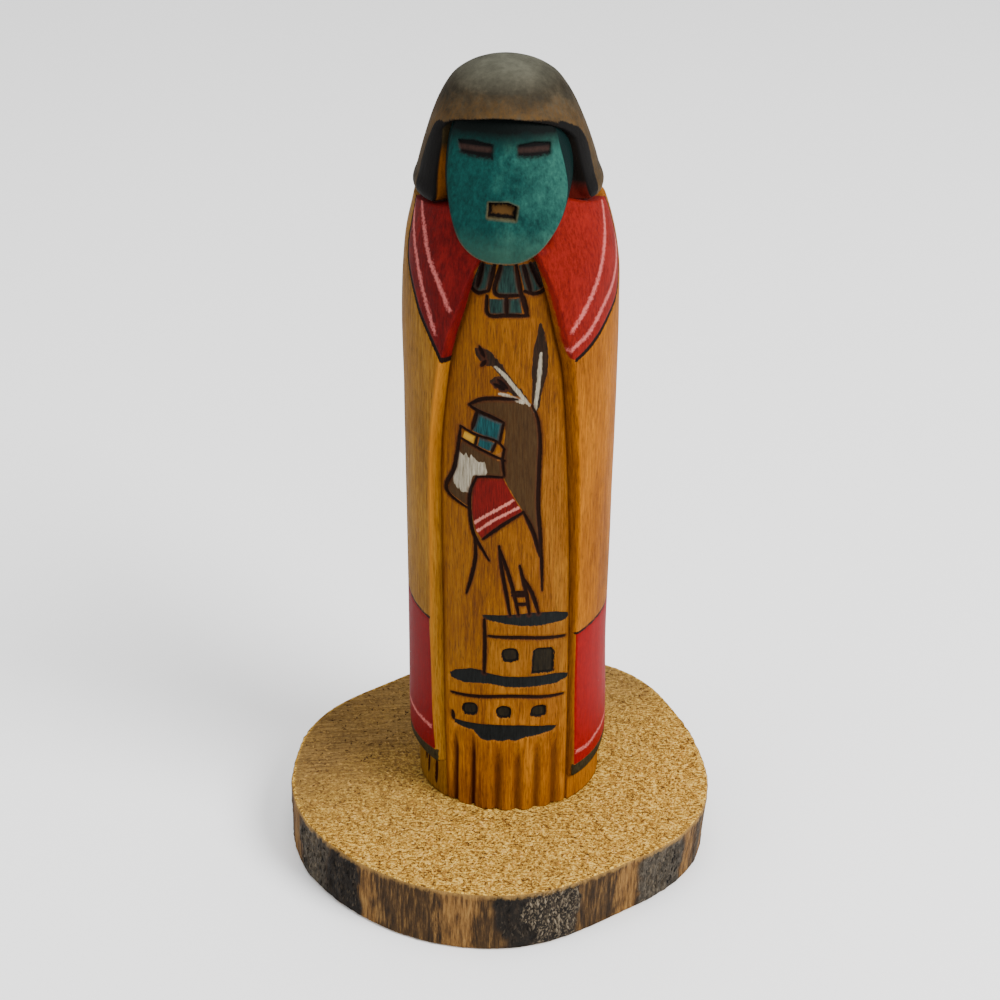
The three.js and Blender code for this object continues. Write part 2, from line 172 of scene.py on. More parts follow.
# %% Unevenness of hand work
def uneven(points, size, seed):
    """Smooth unevenness from -1 to 1; size is how far apart its bumps are across, deep and up, in mm."""
    place = points / np.array(size, float) + 31.7 * seed
    cell = np.floor(place).astype(np.int64)
    part = place - cell
    part = part * part * (3 - 2 * part)
    total = np.zeros(len(points))
    for corner in np.ndindex(2, 2, 2):
        c = cell + np.array(corner)
        mix = c[:, 0] * 374761393 + c[:, 1] * 668265263 + c[:, 2] * 1440662683
        mix = (mix ^ (mix >> 13)) * 1274126177
        height = ((mix ^ (mix >> 16)) & 0xFFFF) / 32767.5 - 1
        total += height * np.prod(np.where(corner, part, 1 - part), axis=1)
    return total


# %% [markdown]
# Turning a grid of points into a finished piece
#
# Every form here is a grid of rings, so one helper joins neighbouring rings with four-sided faces, one
# closes both ends with a fan, and one makes the object, with its place in its mesh. Measurements that the
# finishes need, such as the distance to a painted edge, are stored on the points as named attributes. Where
# a point is nowhere near the edge, the distance is simply FAR.

# %% Meshes from grids
FAR = 9.0


def between_rings(rings, columns):
    """Four-sided faces between the rings of a grid; the last column joins the first."""
    here = np.arange(rings * columns).reshape(rings, columns)
    beside = np.roll(here, -1, axis=1)
    return np.stack([here[:-1], beside[:-1], beside[1:], here[1:]], -1).reshape(-1, 4)


def fan(ring, tip):
    """Three-sided faces from a ring of points to one tip."""
    ring = np.asarray(ring)
    return np.stack([ring, np.roll(ring, -1), np.full(len(ring), tip)], 1)


def piece_from(name, points, faces, foot):
    """An object from points in mm, counted from its foot, and a list of face arrays."""
    mesh = bpy.data.meshes.new(name)
    corners = np.concatenate([np.asarray(f).ravel() for f in faces]).astype(np.int32)
    sizes = np.concatenate([np.full(len(f), np.shape(f)[1]) for f in faces])
    mesh.vertices.add(len(points))
    mesh.vertices.foreach_set("co", ((points + foot) * MM).astype(np.float32).ravel())
    mesh.loops.add(len(corners))
    mesh.loops.foreach_set("vertex_index", corners)
    mesh.polygons.add(len(sizes))
    mesh.polygons.foreach_set("loop_start", np.concatenate([[0], np.cumsum(sizes)[:-1]]).astype(np.int32))
    mesh.update(calc_edges=True)
    mesh.validate()
    mesh.shade_smooth()
    piece = bpy.data.objects.new(name, mesh)
    bpy.context.scene.collection.objects.link(piece)
    triangles = int((sizes - 2).sum())
    print(name, len(points), "points,", triangles, "triangles")
    return piece


def closed_piece(name, grid, first_tip, last_tip, foot=doll_foot):
    """A piece from rings of points, closed by a fan from its first and from its last ring to a tip."""
    rings, columns = grid.shape[:2]
    count = rings * columns
    points = np.vstack([grid.reshape(-1, 3), first_tip, last_tip])
    faces = [
        between_rings(rings, columns),
        fan(np.arange(columns)[::-1], count),
        fan(np.arange(count - columns, count), count + 1),
    ]
    return piece_from(name, points, faces, foot)


def mark(piece, **layers):
    """Stores named measurements on the points of a piece."""
    for name, values in layers.items():
        layer = piece.data.attributes.new(name, "FLOAT", "POINT")
        layer.data.foreach_set("value", np.asarray(values, np.float32))


def on_form(radius, degrees, z):
    """Points at a radius and an angle from the front, in mm from the doll's axis."""
    angle = np.radians(degrees)
    radius, angle, z = np.broadcast_arrays(radius, angle, z)
    return np.stack([radius * np.sin(angle), -radius * np.cos(angle), z], -1)


def from_front(degrees):
    """The same angles, counted from -180 to 180 with the front at 0."""
    return (degrees + 180) % 360 - 180


# %% [markdown]
# The marks of the carving
#
# These tables hold the doll's own proportions: the rounded block, the dress between the edges of the cape,
# and the two lines where the cape was cut open. Angles are counted from the front, with the doll's right
# side, on the left of the picture, below zero.

# %% Radius of the block and of the dress
BLOCK = [(-1, 20.3), (12, 20.7), (30, 20.5), (60, 20.7), (90, 21.0), (108, 21.0), (116, 20.7), (122.4, 19.85),
         (127, 18.75), (130.9, 17.65), (135, 16.8)]
BLOCK_LEAN = [(0, -0.1), (12, -0.25), (30, -0.35), (60, -0.15), (90, 0.1), (108, 0.15), (116, 0.25),
              (122.4, 0.1), (127, 0), (131.6, -0.3), (141.5, -0.45), (147.4, -0.6), (155.7, -0.9)]
DRESS = [(-1, 18.95), (14, 18.95), (40, 18.8), (70, 18.6), (95, 18.3), (110, 17.9), (118, 17.5), (127, 16.8)]
SKIRT_RADIUS = 19.0
GROOVE_LEFT = [(-1, -43.6), (12, -44.4), (36, -45.6), (60, -46.4), (71, -47), (82.5, -46.2), (93.5, -42.3),
               (102.5, -37.4), (106, -34.5), (111, -29.4), (118, -23), (122, -18.2), (128, -10)]
GROOVE_RIGHT = [(-1, 39.3), (20, 40.7), (35, 41.3), (49, 41.2), (63, 40.6), (77, 38.9), (90, 36.5),
                (100.7, 33.2), (107.3, 28.4), (113.7, 23.8), (120, 18), (123.8, 13.4), (128, 8.5)]
ROLL_LEFT = [(-1, 3.6), (50, 3.0), (71, 1.7), (95, 1.3), (110, 1.7), (128, 2.4)]
ROLL_RIGHT = [(-1, 2.6), (60, 2.4), (95, 2.2), (110, 2.2), (128, 2.4)]
HEM = [(-180, 9.6), (-110, 10.2), (-77, 10.2), (-49, 9.0), (0, 7.4), (42, 5.9), (55, 6.3), (66, 7.2),
       (76, 8.4), (110, 9.2), (180, 9.6)]
HEM_THICK = 0.5
HOOD_FOOT = 131.0
HOOD_TOP = 155.7
CAPE_TOP = [(-180, 131.2), (-64, 131.2), (-56, 132.0), (-48, 133.1), (0, 133.3), (38, 134.4), (44, 135.5),
            (50, 135.3), (56, 134.1), (62, 132.2), (68, 131.2), (180, 131.2)]

# %% [markdown]
# The dress
#
# Between the two edges of the cape lies the flat-rounded front of the dress with everything that was drawn
# on it. It could be a plain surface with a picture on it, but on the real doll a hot point has sunk each
# line into the wood and a knife has cut the folds of the foot. So the picture is first drawn as lines and
# shapes in millimetres, and the same drawing then cuts the surface and steers the colours.

# %% Drawing of the necklace and the feathers
BURNT_LINE = 0.85
FINE_LINE = 0.6
necklace_slabs = [
    [(-6.3, 121.4), (-7.5, 116.6), (-5.9, 115.5), (-4.5, 116.1), (-2.9, 121.2)],
    [(-1.9, 121.2), (-2.6, 115.6), (1.7, 115.3), (0.7, 121.2)],
    [(1.5, 121.2), (2.7, 116.1), (4.5, 115.7), (7.2, 116.9), (5, 121.6)],
    [(-4, 114.6), (-3.8, 111.6), (-1, 111.6), (-0.9, 114.6)],
    [(-0.4, 114.6), (-0.4, 111.6), (2.2, 111.7), (1.9, 114.8)],
]
necklace_lines = [
    [(-6.3, 121.3), (-7.6, 116.5), (-5.9, 115.4), (-4.5, 115.9)],
    [(-5.2, 121.2), (-6.2, 116.8)],
    [(-2.9, 121.2), (-3.5, 118.4), (-4.1, 116)],
    [(-1.8, 121.2), (-2.7, 115.5), (1.8, 115.2)],
    [(1.1, 121.2), (2.1, 115.4), (3.1, 111.3)],
    [(2.5, 121), (3.8, 116.1)],
    [(3.8, 121.4), (5.8, 116.8)],
    [(5, 121.7), (7.5, 116.8), (4.6, 115.4), (2.7, 116)],
    [(-4.4, 115), (-4.1, 111.3), (-0.7, 111.3), (3.4, 111.1)],
    [(-0.7, 115.2), (-0.7, 111.4)],
    [(2.5, 115), (3.3, 111.4)],
]
left_feather = [(-6.6, 104.4), (-5.3, 104.5), (-4, 104.1), (-1.7, 101.6), (0.7, 98), (2.7, 95.3), (3.8, 92.9),
                (2.6, 93.8), (-0.3, 97), (-2.2, 99.6), (-3.4, 100.8), (-5, 101.3)]
low_feather = [(-3.8, 98.2), (-2.6, 98.9), (-1.6, 99.1), (0.3, 97), (1.8, 94.9), (-0.3, 95.5), (-3.4, 97)]
right_feather = [(4.8, 91), (4.3, 94), (4.2, 99), (4.4, 103.5), (5, 107), (5.7, 109.4), (6.5, 107.4),
                 (7.1, 103.6), (6.8, 98.7), (6, 94.6)]
feather_shafts = [
    [(-2.8, 100.9), (-1.2, 99.4), (0.4, 97.3), (3.8, 92.9)],
    [(-1.9, 95.5), (0.5, 94.6), (2.6, 93.5)],
    [(5.9, 103.3), (5.6, 98.7), (4.8, 91.4)],
]
feather_nicks = [[(-5.9, 104.9), (-4.9, 102.6)], [(-4.6, 102), (-5.6, 100.7)], [(-2.4, 98.4), (-0.4, 96.4)],
                 [(-3.2, 97.4), (-1, 96.2)]]

# %% Drawing of the figure in profile
hair = flowing([(-8, 92.5), (-5.3, 93.9), (-2, 94.3), (1.6, 94), (3.9, 92.6), (5, 90.2), (5.5, 86), (5.6, 78),
                (5.6, 71), (6, 64), (5.8, 60.8), (4.6, 65.9), (2.7, 70.1), (0.4, 74.4), (-1.1, 77.8),
                (-1.2, 84), (-1.3, 89), (-3.6, 90.4)], closed=True)
mask_block = [(-6.2, 91.1), (-1.2, 89.2), (-2, 85.2), (-7.3, 87.2)]
low_block = [(-5.8, 86.1), (-2.7, 85), (-3.5, 83.2), (-6.2, 84)]
yellow_block = [(-8.7, 86.7), (-6.4, 85.8), (-6.7, 84.1), (-9.1, 85.1)]
tan_block = [(-3, 82.5), (-1.2, 83.5), (-1, 81.3), (-2.4, 81.3)]
ruff = [(-9.2, 84.7), (-1.2, 81.6), (-1.1, 77.7), (-6.5, 76.7), (-7.7, 74), (-7.7, 70.4), (-12.2, 72.8)]
white_patch = flowing([(-9.4, 82), (-7.6, 81.4), (-5, 80.4), (-4.3, 78.6), (-6.8, 77.1), (-7.8, 74),
                       (-8.9, 73.4), (-10.6, 74.6), (-10.5, 78.6)], closed=True)
red_shawl = [(-6.5, 77.4), (-1.3, 77.6), (0.1, 74.7), (2.5, 70.1), (-1.6, 67.3), (-5.2, 63.6), (-6.5, 65.6),
             (-7.4, 69.1), (-7.4, 73.7)]
shawl_stripes = [[(-6.9, 67.2), (-4.3, 69.5), (-1.5, 71.4), (0.6, 72.8)],
                 [(-6.4, 65.5), (-2.8, 68.6), (1.9, 71.3)]]
figure_lines = [
    [(-8, 92.4), (-5.6, 93.9), (-2.6, 94.4), (1.4, 94.2)],
    [(-8, 92.3), (-6.2, 91.4), (-3.7, 90.5), (-1.2, 89.4)],
    [(-6.3, 91.4), (-7.4, 87.3)],
    [(4.2, 92.8), (5.2, 90.4), (5.8, 86.7), (5.7, 78.3), (5.6, 71.4), (6.1, 64), (6.4, 57), (6.5, 52)],
    [(2.6, 70.2), (4.5, 65.7), (6, 59.8)],
    [(-9.6, 87.4), (-10, 83.7), (-10.9, 78.2), (-12.4, 72.6), (-8.2, 70)],
    [(-6.4, 77.4), (-7.6, 74.5), (-7.9, 69.5), (-7.1, 64.6), (-5.6, 61.7), (-4.1, 59.1)],
    [(-7, 64.7), (-6.8, 60.1), (-7.6, 55.1), (-8.7, 50.8)],
    [(-5.4, 63.7), (-1.6, 67.1), (2.8, 70.1)],
]
figure_fine_lines = [
    [(-9.6, 87.5), (-7.3, 86.5), (-2, 84.9), (-1, 83.7)],
    [(-9.4, 84.9), (-6.3, 83.6), (-1, 81.3)],
    [(-6.4, 86), (-6.8, 84)],
    [(-1.2, 89.4), (-2, 85.1)],
    [(-1.2, 83.9), (-1.4, 81.5), (-1.1, 78)],
    [(-6.5, 77.3), (-4, 77.7), (-1.4, 77.7)],
    [(-2.7, 85), (-3.5, 83.1)],
]

# %% Drawing of the ladder and the stepped house
ladder_poles = [
    [(-2.1, 62.6), (-1.7, 58.1), (-0.9, 53.1), (0.1, 46.9)],
    [(-1.9, 61.7), (-0.5, 57.2), (0.7, 52.6), (1.8, 46.9)],
    [(2, 58.2), (2.8, 54.3), (3.2, 52.6), (4, 46.8)],
    [(2.4, 55.8), (4.2, 52.4), (5.9, 46.8)],
]
ladder_rungs = [[(0.5, 52.2), (3.2, 52)], [(0.6, 51.5), (3.2, 51.3)], [(1.6, 49.4), (3.6, 49.3)]]
roofs = [
    [(-5.5, 46.7), (-5.3, 45.9), (-3.9, 45.6), (-1.3, 45.1), (2.5, 44.4), (6, 44.1), (8.6, 44), (11.2, 43.9),
     (12, 44.5), (11.9, 45.3), (9.4, 46.5), (6.9, 47), (4.6, 47.3), (2.5, 47.2), (-1.3, 47), (-3.4, 46.9)],
    [(-12.3, 31), (-11.9, 30), (-9.1, 29.9), (-6.5, 30.5), (-3.9, 30.7), (-0.6, 30.2), (2.5, 30), (6.2, 29.9),
     (9.7, 29.6), (12.1, 30.1), (12.1, 30.9), (11, 31.5), (9, 32.1), (4.5, 32.4), (-1.3, 32.7), (-4.5, 33.2),
     (-5.8, 33.7), (-7.8, 33.7), (-10.9, 32.3)],
    [(-11.6, 20.3), (-11.2, 19.3), (-9.2, 19), (-7.4, 19), (-6.9, 18.2), (-5.9, 17.2), (-4.5, 16.8),
     (-3.3, 17.3), (-2.4, 17), (-1.2, 17.1), (-0.1, 17.5), (1.2, 17.1), (2.2, 17.5), (3.4, 17.9),
     (5.4, 18), (7.2, 18.3), (8.9, 18.4), (9.9, 19.3), (8, 19.9), (2.6, 20.9), (-0.8, 21), (-3.9, 20.9),
(-8, 20.6)],
]
house_lines = [
    [(-5.1, 45.6), (-5, 40), (-5.2, 33)],
    [(-4.3, 41.9), (3, 41.6), (11.2, 40.1)],
    [(-11.9, 26.4), (-5.8, 27.3), (0.6, 27.9), (7.8, 26.9), (11, 26.4)],
    [(-11.7, 21.9), (-11.6, 20.2)],
]
windows = [
    flowing([(-1.4, 38.8), (1.4, 39), (1.7, 36.6), (-1.2, 36.4)], closed=True),
    [(4.8, 38.4), (5.6, 38.9), (8.5, 38.4), (9.1, 37.5), (9, 32.6), (4.5, 33.1)],
    flowing([(-9.3, 24.8), (-6.8, 25.3), (-6.7, 23.1), (-9.5, 22.6)], closed=True),
    flowing([(-2.5, 25), (-1, 25.6), (0.1, 25.2), (0.1, 23), (-2.4, 23)], closed=True),
    flowing([(4.7, 24.9), (7.4, 24.8), (7.3, 22.8), (4.4, 23.1)], closed=True),
]
SHARP_FOLD, SOFT_FOLD = 0.45, 0.85
folds = [(-11.2, 0.9, SHARP_FOLD), (-7.6, 1.0, SHARP_FOLD), (-2.5, 0.75, SOFT_FOLD), (1.7, 0.75, SOFT_FOLD),
         (5.7, 0.75, SOFT_FOLD), (9.4, 0.75, SOFT_FOLD)]
FOLD_TOP = [(-13, 18.5), (-7.3, 19), (-2.9, 17), (1.6, 17.2), (5.9, 18), (12, 18.6)]

# %% [markdown]
# The front is one fine grid, 0.2 to 0.26 mm from point to point. Each drawn line becomes a trough with
# sloping walls, less than half a millimetre deep. The folds of the foot are wider troughs that run out at
# the lowest roof, and the wood between them is left a little rounded, as a gouge leaves it. The sides run
# under the cape and the back is closed.

# %% Depth of every cut on the dress
DRESS_COLUMNS = 150
DRESS_ROWS = 500
DRESS_FOOT = -0.15
DRESS_TOP = 127.5
UNDER_CAPE = 3.4
LINE_DEPTH = 0.42


def trough(distance, depth, reach):
    """Depth of a cut whose walls rise from its line to the surface at the reach."""
    return depth * ease(distance, reach, -reach)


def nearest(x, z, drawing, width=0.0, taper=0.0):
    """Distance to the nearest of several lines, each drawn with a flowing hand."""
    return np.min([stroke(x, z, flowing(line), width, taper) for line in drawing], axis=0)


rows_z = np.linspace(DRESS_FOOT, DRESS_TOP, DRESS_ROWS)
from_left = curve(GROOVE_LEFT, rows_z) - UNDER_CAPE
from_right = curve(GROOVE_RIGHT, rows_z) + UNDER_CAPE
share = np.linspace(0, 1, DRESS_COLUMNS)
degrees = from_left[:, None] + (from_right - from_left)[:, None] * share
z = np.repeat(rows_z[:, None], DRESS_COLUMNS, 1)
dress_radius = curve(DRESS, z)
x = dress_radius * np.sin(np.radians(degrees))

drawings = [
    (necklace_lines, BURNT_LINE, 0.3),
    (figure_lines, BURNT_LINE, 0.5),
    (figure_fine_lines, FINE_LINE, 0.2),
    (feather_nicks, BURNT_LINE, 0.7),
    (ladder_poles, BURNT_LINE, 0.4),
    (ladder_rungs, BURNT_LINE, 0.2),
    (house_lines, BURNT_LINE, 0.3),
]
burnt = np.min([nearest(x, z, drawing, width, taper) for drawing, width, taper in drawings], axis=0)
feathers = shapes(x, z, [flowing(feather, True) for feather in (left_feather, low_feather, right_feather)])
roof = shapes(x, z, roofs)
window = shapes(x, z, windows)

# %% The folds of the foot and the grooves beside the cape
FOLD_LEAN = 0.35
FOLD_MIDDLE = 9
FOLD_RUN_OUT = 7
FOLD_SWELL = 1.7
fold_fade = ease(z, curve(FOLD_TOP, x), curve(FOLD_TOP, x) - FOLD_RUN_OUT)
fold_cut = np.zeros_like(x)
fold_dark = np.zeros_like(x)
# The folds are darkened in their hollows, partly as stain and partly as painted shade.
for place, depth, width in folds:
    away = np.abs(x - place - FOLD_LEAN * (z / FOLD_MIDDLE - 1) / 2)
    profile = 0.7 * np.exp(-((away / width) ** 2)) + 0.3 * np.exp(-((away / FOLD_SWELL) ** 2))
    fold_cut += depth * fold_fade * profile
    pooled_stain_and_shade = (SHARP_FOLD / width) ** 0.5 * np.exp(-((away / (0.1 + width)) ** 2))
    fold_dark = np.maximum(fold_dark, fold_fade**0.5 * pooled_stain_and_shade)
# By the grooves the wood is darkened by stain and painted shade, more on the doll's left, away from the
# light.
nearer_side = np.minimum(degrees - curve(GROOVE_LEFT, z), curve(GROOVE_RIGHT, z) - degrees)
groove = np.abs(nearer_side * np.radians(dress_radius))
groove_stain_and_shade_reach = np.where(degrees > 0, 0.45, 0.85)
groove_stain_and_shade = np.where(degrees > 0, 0.55, 0.45) * np.exp(-((groove / groove_stain_and_shade_reach) ** 2))

cut = np.maximum(trough(burnt, LINE_DEPTH, 0.28), trough(feathers, 0.2, 0.3))
cut = np.maximum(cut, trough(roof, 0.28, 0.25))
cut = np.maximum(cut, trough(window, 0.4, 0.22))
cut = np.maximum(cut, np.where(degrees > 0, 0.5, 0.25) * np.exp(-((groove / 0.6) ** 2)))
flat = on_form(dress_radius, degrees, z).reshape(-1, 3)
hand = 0.07 * uneven(flat, (5, 5, 14), 1) + 0.025 * uneven(flat, (1.2, 1.2, 6), 2)
tool = 0.02 * uneven(flat, (0.45, 0.45, 2.5), 3)
radius = dress_radius - cut - fold_cut + (hand + tool).reshape(x.shape)
print("deepest cut", (cut + fold_cut).max().round(2), "mm")

# %% The dress as one closed piece
DRESS_BACK = 11.0
front = on_form(radius, degrees, z)
back_left = on_form(DRESS_BACK, degrees[:, 0], rows_z)
back_right = on_form(DRESS_BACK, degrees[:, -1], rows_z)
dress_grid = np.concatenate([front, back_right[:, None], back_left[:, None]], axis=1)
dress = closed_piece("dress_front", dress_grid, dress_grid[0].mean(0), dress_grid[-1].mean(0))


def over_dress(values, edge=FAR):
    """A measurement of the front, with a plain value for the points of the hidden back."""
    hidden = np.full((DRESS_ROWS, 2), edge)
    return np.concatenate([np.concatenate([values, hidden], 1).ravel(), [edge, edge]])


# %% Measurements for the colours of the dress
ragged = uneven(flat, (0.5, 0.5, 3.0), 4).reshape(x.shape)
hair_edge = shapes(x, z, [hair, ruff])
turquoise_edge = shapes(x, z, [*necklace_slabs, mask_block, low_block])
shaft_edge = nearest(x, z, feather_shafts, 0.8, 0.4)
white_edge = np.minimum(shape(x, z, white_patch) + 0.7 * ragged, shaft_edge)
mark(
    dress,
    burnt_line=over_dress(burnt),
    feather_edge=over_dress(feathers + 0.3 * ragged),
    roof_edge=over_dress(roof),
    window_edge=over_dress(window),
    stain_pool=over_dress(np.maximum(fold_dark, groove_stain_and_shade), 0.0),
    hair_edge=over_dress(hair_edge),
    turquoise_edge=over_dress(turquoise_edge),
    red_edge=over_dress(shape(x, z, red_shawl)),
    pink_edge=over_dress(nearest(x, z, shawl_stripes, 0.55)),
    white_edge=over_dress(white_edge),
    yellow_edge=over_dress(shape(x, z, yellow_block)),
    tan_edge=over_dress(shape(x, z, tan_block)),
)

# %% [markdown]
# The cape and the skirt below it
#
# The cape is the rounded block itself, with a rolled edge down both sides of the opening and a hem that
# stands a little proud of the skirt. Its columns of points bend with the two edges and its rows bend with
# the hem, so that the roll and the hem are smooth lines of the mesh and not a staircase. Behind the dress
# it is sunk out of sight.

# %% Columns that follow the edges, rows that follow the hem
SIDE_COLUMNS = 92
BACK_COLUMNS = 58
ROLL_COLUMNS = 10
HIDDEN_COLUMNS = 18
CAPE_ROWS = 250
SKIRT_ROWS = 16
SIDE_END = 96
HEM_LEVEL = 8.0


def zone(count):
    """Shares from 0 towards 1, without the 1 that the next zone begins with."""
    return np.linspace(0, 1, count, endpoint=False)


def cape_angles(z):
    """Angle of every column at a height, once round from the groove on the right."""
    right, left = curve(GROOVE_RIGHT, z), 360 + curve(GROOVE_LEFT, z)
    stops = [right, right + curve(ROLL_RIGHT, z), SIDE_END, 360 - SIDE_END, left - curve(ROLL_LEFT, z), left,
             360 + right]
    counts = [ROLL_COLUMNS, SIDE_COLUMNS, BACK_COLUMNS, SIDE_COLUMNS, ROLL_COLUMNS, HIDDEN_COLUMNS]
    return np.concatenate([a + (b - a) * zone(n) for a, b, n in zip(stops, stops[1:], counts)])


front_angle = from_front(cape_angles(HEM_LEVEL))
hem = curve(HEM, front_angle)
top = curve(CAPE_TOP, front_angle)
columns = len(hem)
up = np.linspace(0, 1, CAPE_ROWS)[1:, None]
cape_z = np.vstack([
    DRESS_FOOT + (hem - DRESS_FOOT) * np.linspace(0, 1, SKIRT_ROWS)[:, None],
    [hem + 0.02, hem + 0.12, hem + HEM_THICK],
    hem + HEM_THICK + (top - hem - HEM_THICK) * up,
])
print("cape grid", cape_z.shape)

# %% Radius of the cape at every point of the grid
HIDDEN_BEHIND = 1.6
GROOVE_BOTTOM = 0.62
HEM_LIP = (0.9, 0.3)


def angles_at(z_grid):
    """The columns' angles for a grid of heights, by reading a ladder of levels."""
    levels = np.linspace(-1, 136, 275)
    ladder = np.array([cape_angles(level) for level in levels])
    return np.stack([np.interp(z_grid[:, k], levels, ladder[:, k]) for k in range(z_grid.shape[1])], 1)


cape_degrees = angles_at(cape_z)
turned = from_front(cape_degrees)
column = np.arange(columns)
roll_right = np.clip(column / ROLL_COLUMNS, 0, 1)
left_roll_start = ROLL_COLUMNS + 2 * SIDE_COLUMNS + BACK_COLUMNS
roll_left = np.clip((left_roll_start + ROLL_COLUMNS - column) / ROLL_COLUMNS, 0, 1)
roll = np.sqrt(1 - (1 - np.minimum(roll_right, roll_left)) ** 2)
hidden = column >= left_roll_start + ROLL_COLUMNS
hidden[0] = False
block = curve(BLOCK, cape_z)
dress_level = curve(DRESS, cape_z)
outer = dress_level - GROOVE_BOTTOM + (block - dress_level + GROOVE_BOTTOM) * roll
skirt = np.full_like(outer, SKIRT_RADIUS)
below_hem = np.arange(len(cape_z))[:, None] < SKIRT_ROWS
lip = np.zeros(len(cape_z))
lip[SKIRT_ROWS:SKIRT_ROWS + 2] = HEM_LIP
cape_radius = np.where(below_hem, skirt, np.maximum(outer - lip[:, None], np.minimum(outer, SKIRT_RADIUS)))
cape_radius = np.where(hidden, dress_level - HIDDEN_BEHIND, cape_radius)
cape_radius[:, 0] = np.where(below_hem[:, 0], SKIRT_RADIUS - 0.5, cape_radius[:, 0])

# %% [markdown]
# What is painted on the cape is again kept as distances, this time on the unrolled surface: one degree
# round the doll is a bit more than a third of a millimetre. The shawl is two red lapels with a black outer
# edge and two brushed pink stripes each. The same red and pink come back in the band above the hem, which
# ends in a dark olive edge.

# %% Drawing on the unrolled cape
DEGREE = 0.365
LAPEL_LEFT = [(-37.4, 100.7), (-40, 102.2), (-45, 105), (-53.5, 108.8), (-64.3, 114.5), (-73.3, 119),
              (-76, 125), (-79, 131), (-80, 137), (0, 137), (-8, 127.5), (-15.5, 123.5), (-21, 120),
              (-24.4, 116.5), (-28, 112.3), (-31.8, 108), (-35.4, 104.4), (-37.4, 101.6)]
LAPEL_RIGHT = [(36.1, 102), (43.1, 103.4), (52.2, 105.3), (64.2, 108.2), (74, 110.6), (82, 116), (84, 124),
               (83, 131), (82, 137), (0, 137), (6, 128), (10.5, 125.7), (16.4, 121.4), (20.8, 117.5),
               (24.6, 113), (27.4, 109.2), (29.6, 106), (33, 102.4)]
SHAWL_EDGE_LEFT = [(-37.6, 100.6), (-40, 102.1), (-45, 104.9), (-53.5, 108.8), (-64.3, 114.5), (-73.3, 119),
                   (-76, 125), (-79, 132)]
SHAWL_EDGE_RIGHT = [(36.1, 101.9), (43.1, 103.2), (52.2, 105.2), (64.2, 108.2), (74, 110.6), (82, 116),
                    (84, 124), (83, 132)]
SHAWL_STRIPES = [
    [(-33.4, 112.2), (-40, 116.3), (-48, 120.5), (-56, 125.2), (-66, 130.5)],
    [(-42.5, 106.6), (-48.6, 111.2), (-56, 116.6), (-64, 122), (-72, 126), (-78, 129.5)],
    [(33, 108), (42, 112), (51, 116.2), (60, 121), (68, 126), (76, 131)],
    [(32, 104.2), (45, 106.8), (56, 110.5), (67, 113.9), (76, 117.6), (82, 122)],
]
BAND_TOP = [(-180, 46.5), (-100, 46), (-73.8, 44.3), (-62.3, 43.6), (-49.9, 43.1), (0, 42), (43.2, 40.6),
            (60.4, 41.3), (72.7, 41.6), (100, 43.5), (180, 46.5)]
BAND_STRIPE = [(-180, 16.6), (-100, 18.2), (-76.6, 17.9), (-48.1, 17.2), (0, 14), (43.3, 12.1), (51.8, 11.9),
               (62.4, 12.8), (74.8, 13.5), (110, 15), (180, 16.6)]
HEM_BAND = [(-180, 12.4), (-79.7, 12.4), (-64.3, 12.1), (-45.1, 12), (0, 10), (46.4, 9.0), (65.8, 9.6),
            (82.5, 10.6), (180, 12.2)]
BAND_BORDER_LEFT = [(-1, -46.2), (12.4, -47), (23, -48.8), (34.5, -49.8), (45, -51), (50, -51)]
BAND_BORDER_RIGHT = [(-1, 41.6), (12, 41.8), (41, 42.6), (50, 42.6)]
FRINGE = [
    [(-66, 8.8), (-66.6, 5.4)],
    [(-62, 8.6), (-62.6, 6), (-64, 2.6)],
    [(-53.1, 8), (-53.6, 5), (-54.4, 1.6)],
]


def unrolled(line):
    """A line given in degrees and mm of height, on the unrolled cape."""
    return [(degree * DEGREE, height) for degree, height in line]


across = turned * DEGREE
lapels = shapes(across, cape_z, [unrolled(LAPEL_LEFT), unrolled(LAPEL_RIGHT)])
shawl_line = nearest(across, cape_z, [unrolled(SHAWL_EDGE_LEFT), unrolled(SHAWL_EDGE_RIGHT)], 0.95, 0.15)
inside_left = turned - curve(BAND_BORDER_LEFT, cape_z)
inside_right = curve(BAND_BORDER_RIGHT, cape_z) - turned
inner = np.where(turned < 0, inside_left, inside_right) * DEGREE
band = np.max([cape_z - curve(BAND_TOP, turned), curve(HEM_BAND, turned) - cape_z, inner], axis=0)
band_line = np.maximum(np.abs(cape_z - curve(BAND_TOP, turned)) - 0.3, inner - 0.3)
band_stripe = np.maximum(np.abs(cape_z - curve(BAND_STRIPE, turned)) - 0.36, inner + 0.4)
hem_band = np.maximum(cape_z - curve(HEM_BAND, turned), inner - 0.4)
hem_band = np.where(below_hem & (cape_z < hem - 0.2), FAR, hem_band)
fringe = nearest(across, cape_z, [unrolled(line) for line in FRINGE], 1.2, 0.5)
fringe = np.where(below_hem, fringe, FAR)

# %% The cape as one closed piece
BEHIND_FACE = 2.8
cape_cut = trough(fringe, 0.4, 0.3) + trough(np.minimum(shawl_line, band_line), 0.16, 0.25)
flat = on_form(cape_radius, cape_degrees, cape_z).reshape(-1, 3)
hand = 0.09 * uneven(flat, (7, 7, 20), 5) + 0.03 * uneven(flat, (1.6, 1.6, 7), 6)
hand = np.where(hidden, 0, hand.reshape(cape_z.shape))
behind_face = ease(np.abs(across), 9, 6.5) * ease(cape_z, 124, 127) * (np.abs(turned) < 90)
cape_radius = cape_radius + hand - cape_cut - BEHIND_FACE * behind_face
lean = curve(BLOCK_LEAN, cape_z) * np.where(below_hem | hidden, 0, roll)
cape_grid = on_form(cape_radius, cape_degrees, cape_z)
cape_grid[..., 0] += lean
LID = [(0.94, 0.05), (0.6, 0.0), (0.3, 0.0)]
LID_TIP = 132.0
lid = [on_form(cape_radius[-1] * share, cape_degrees[-1], cape_z[-1] + rise) for share, rise in LID]
cape_rings = np.concatenate([cape_grid, lid])
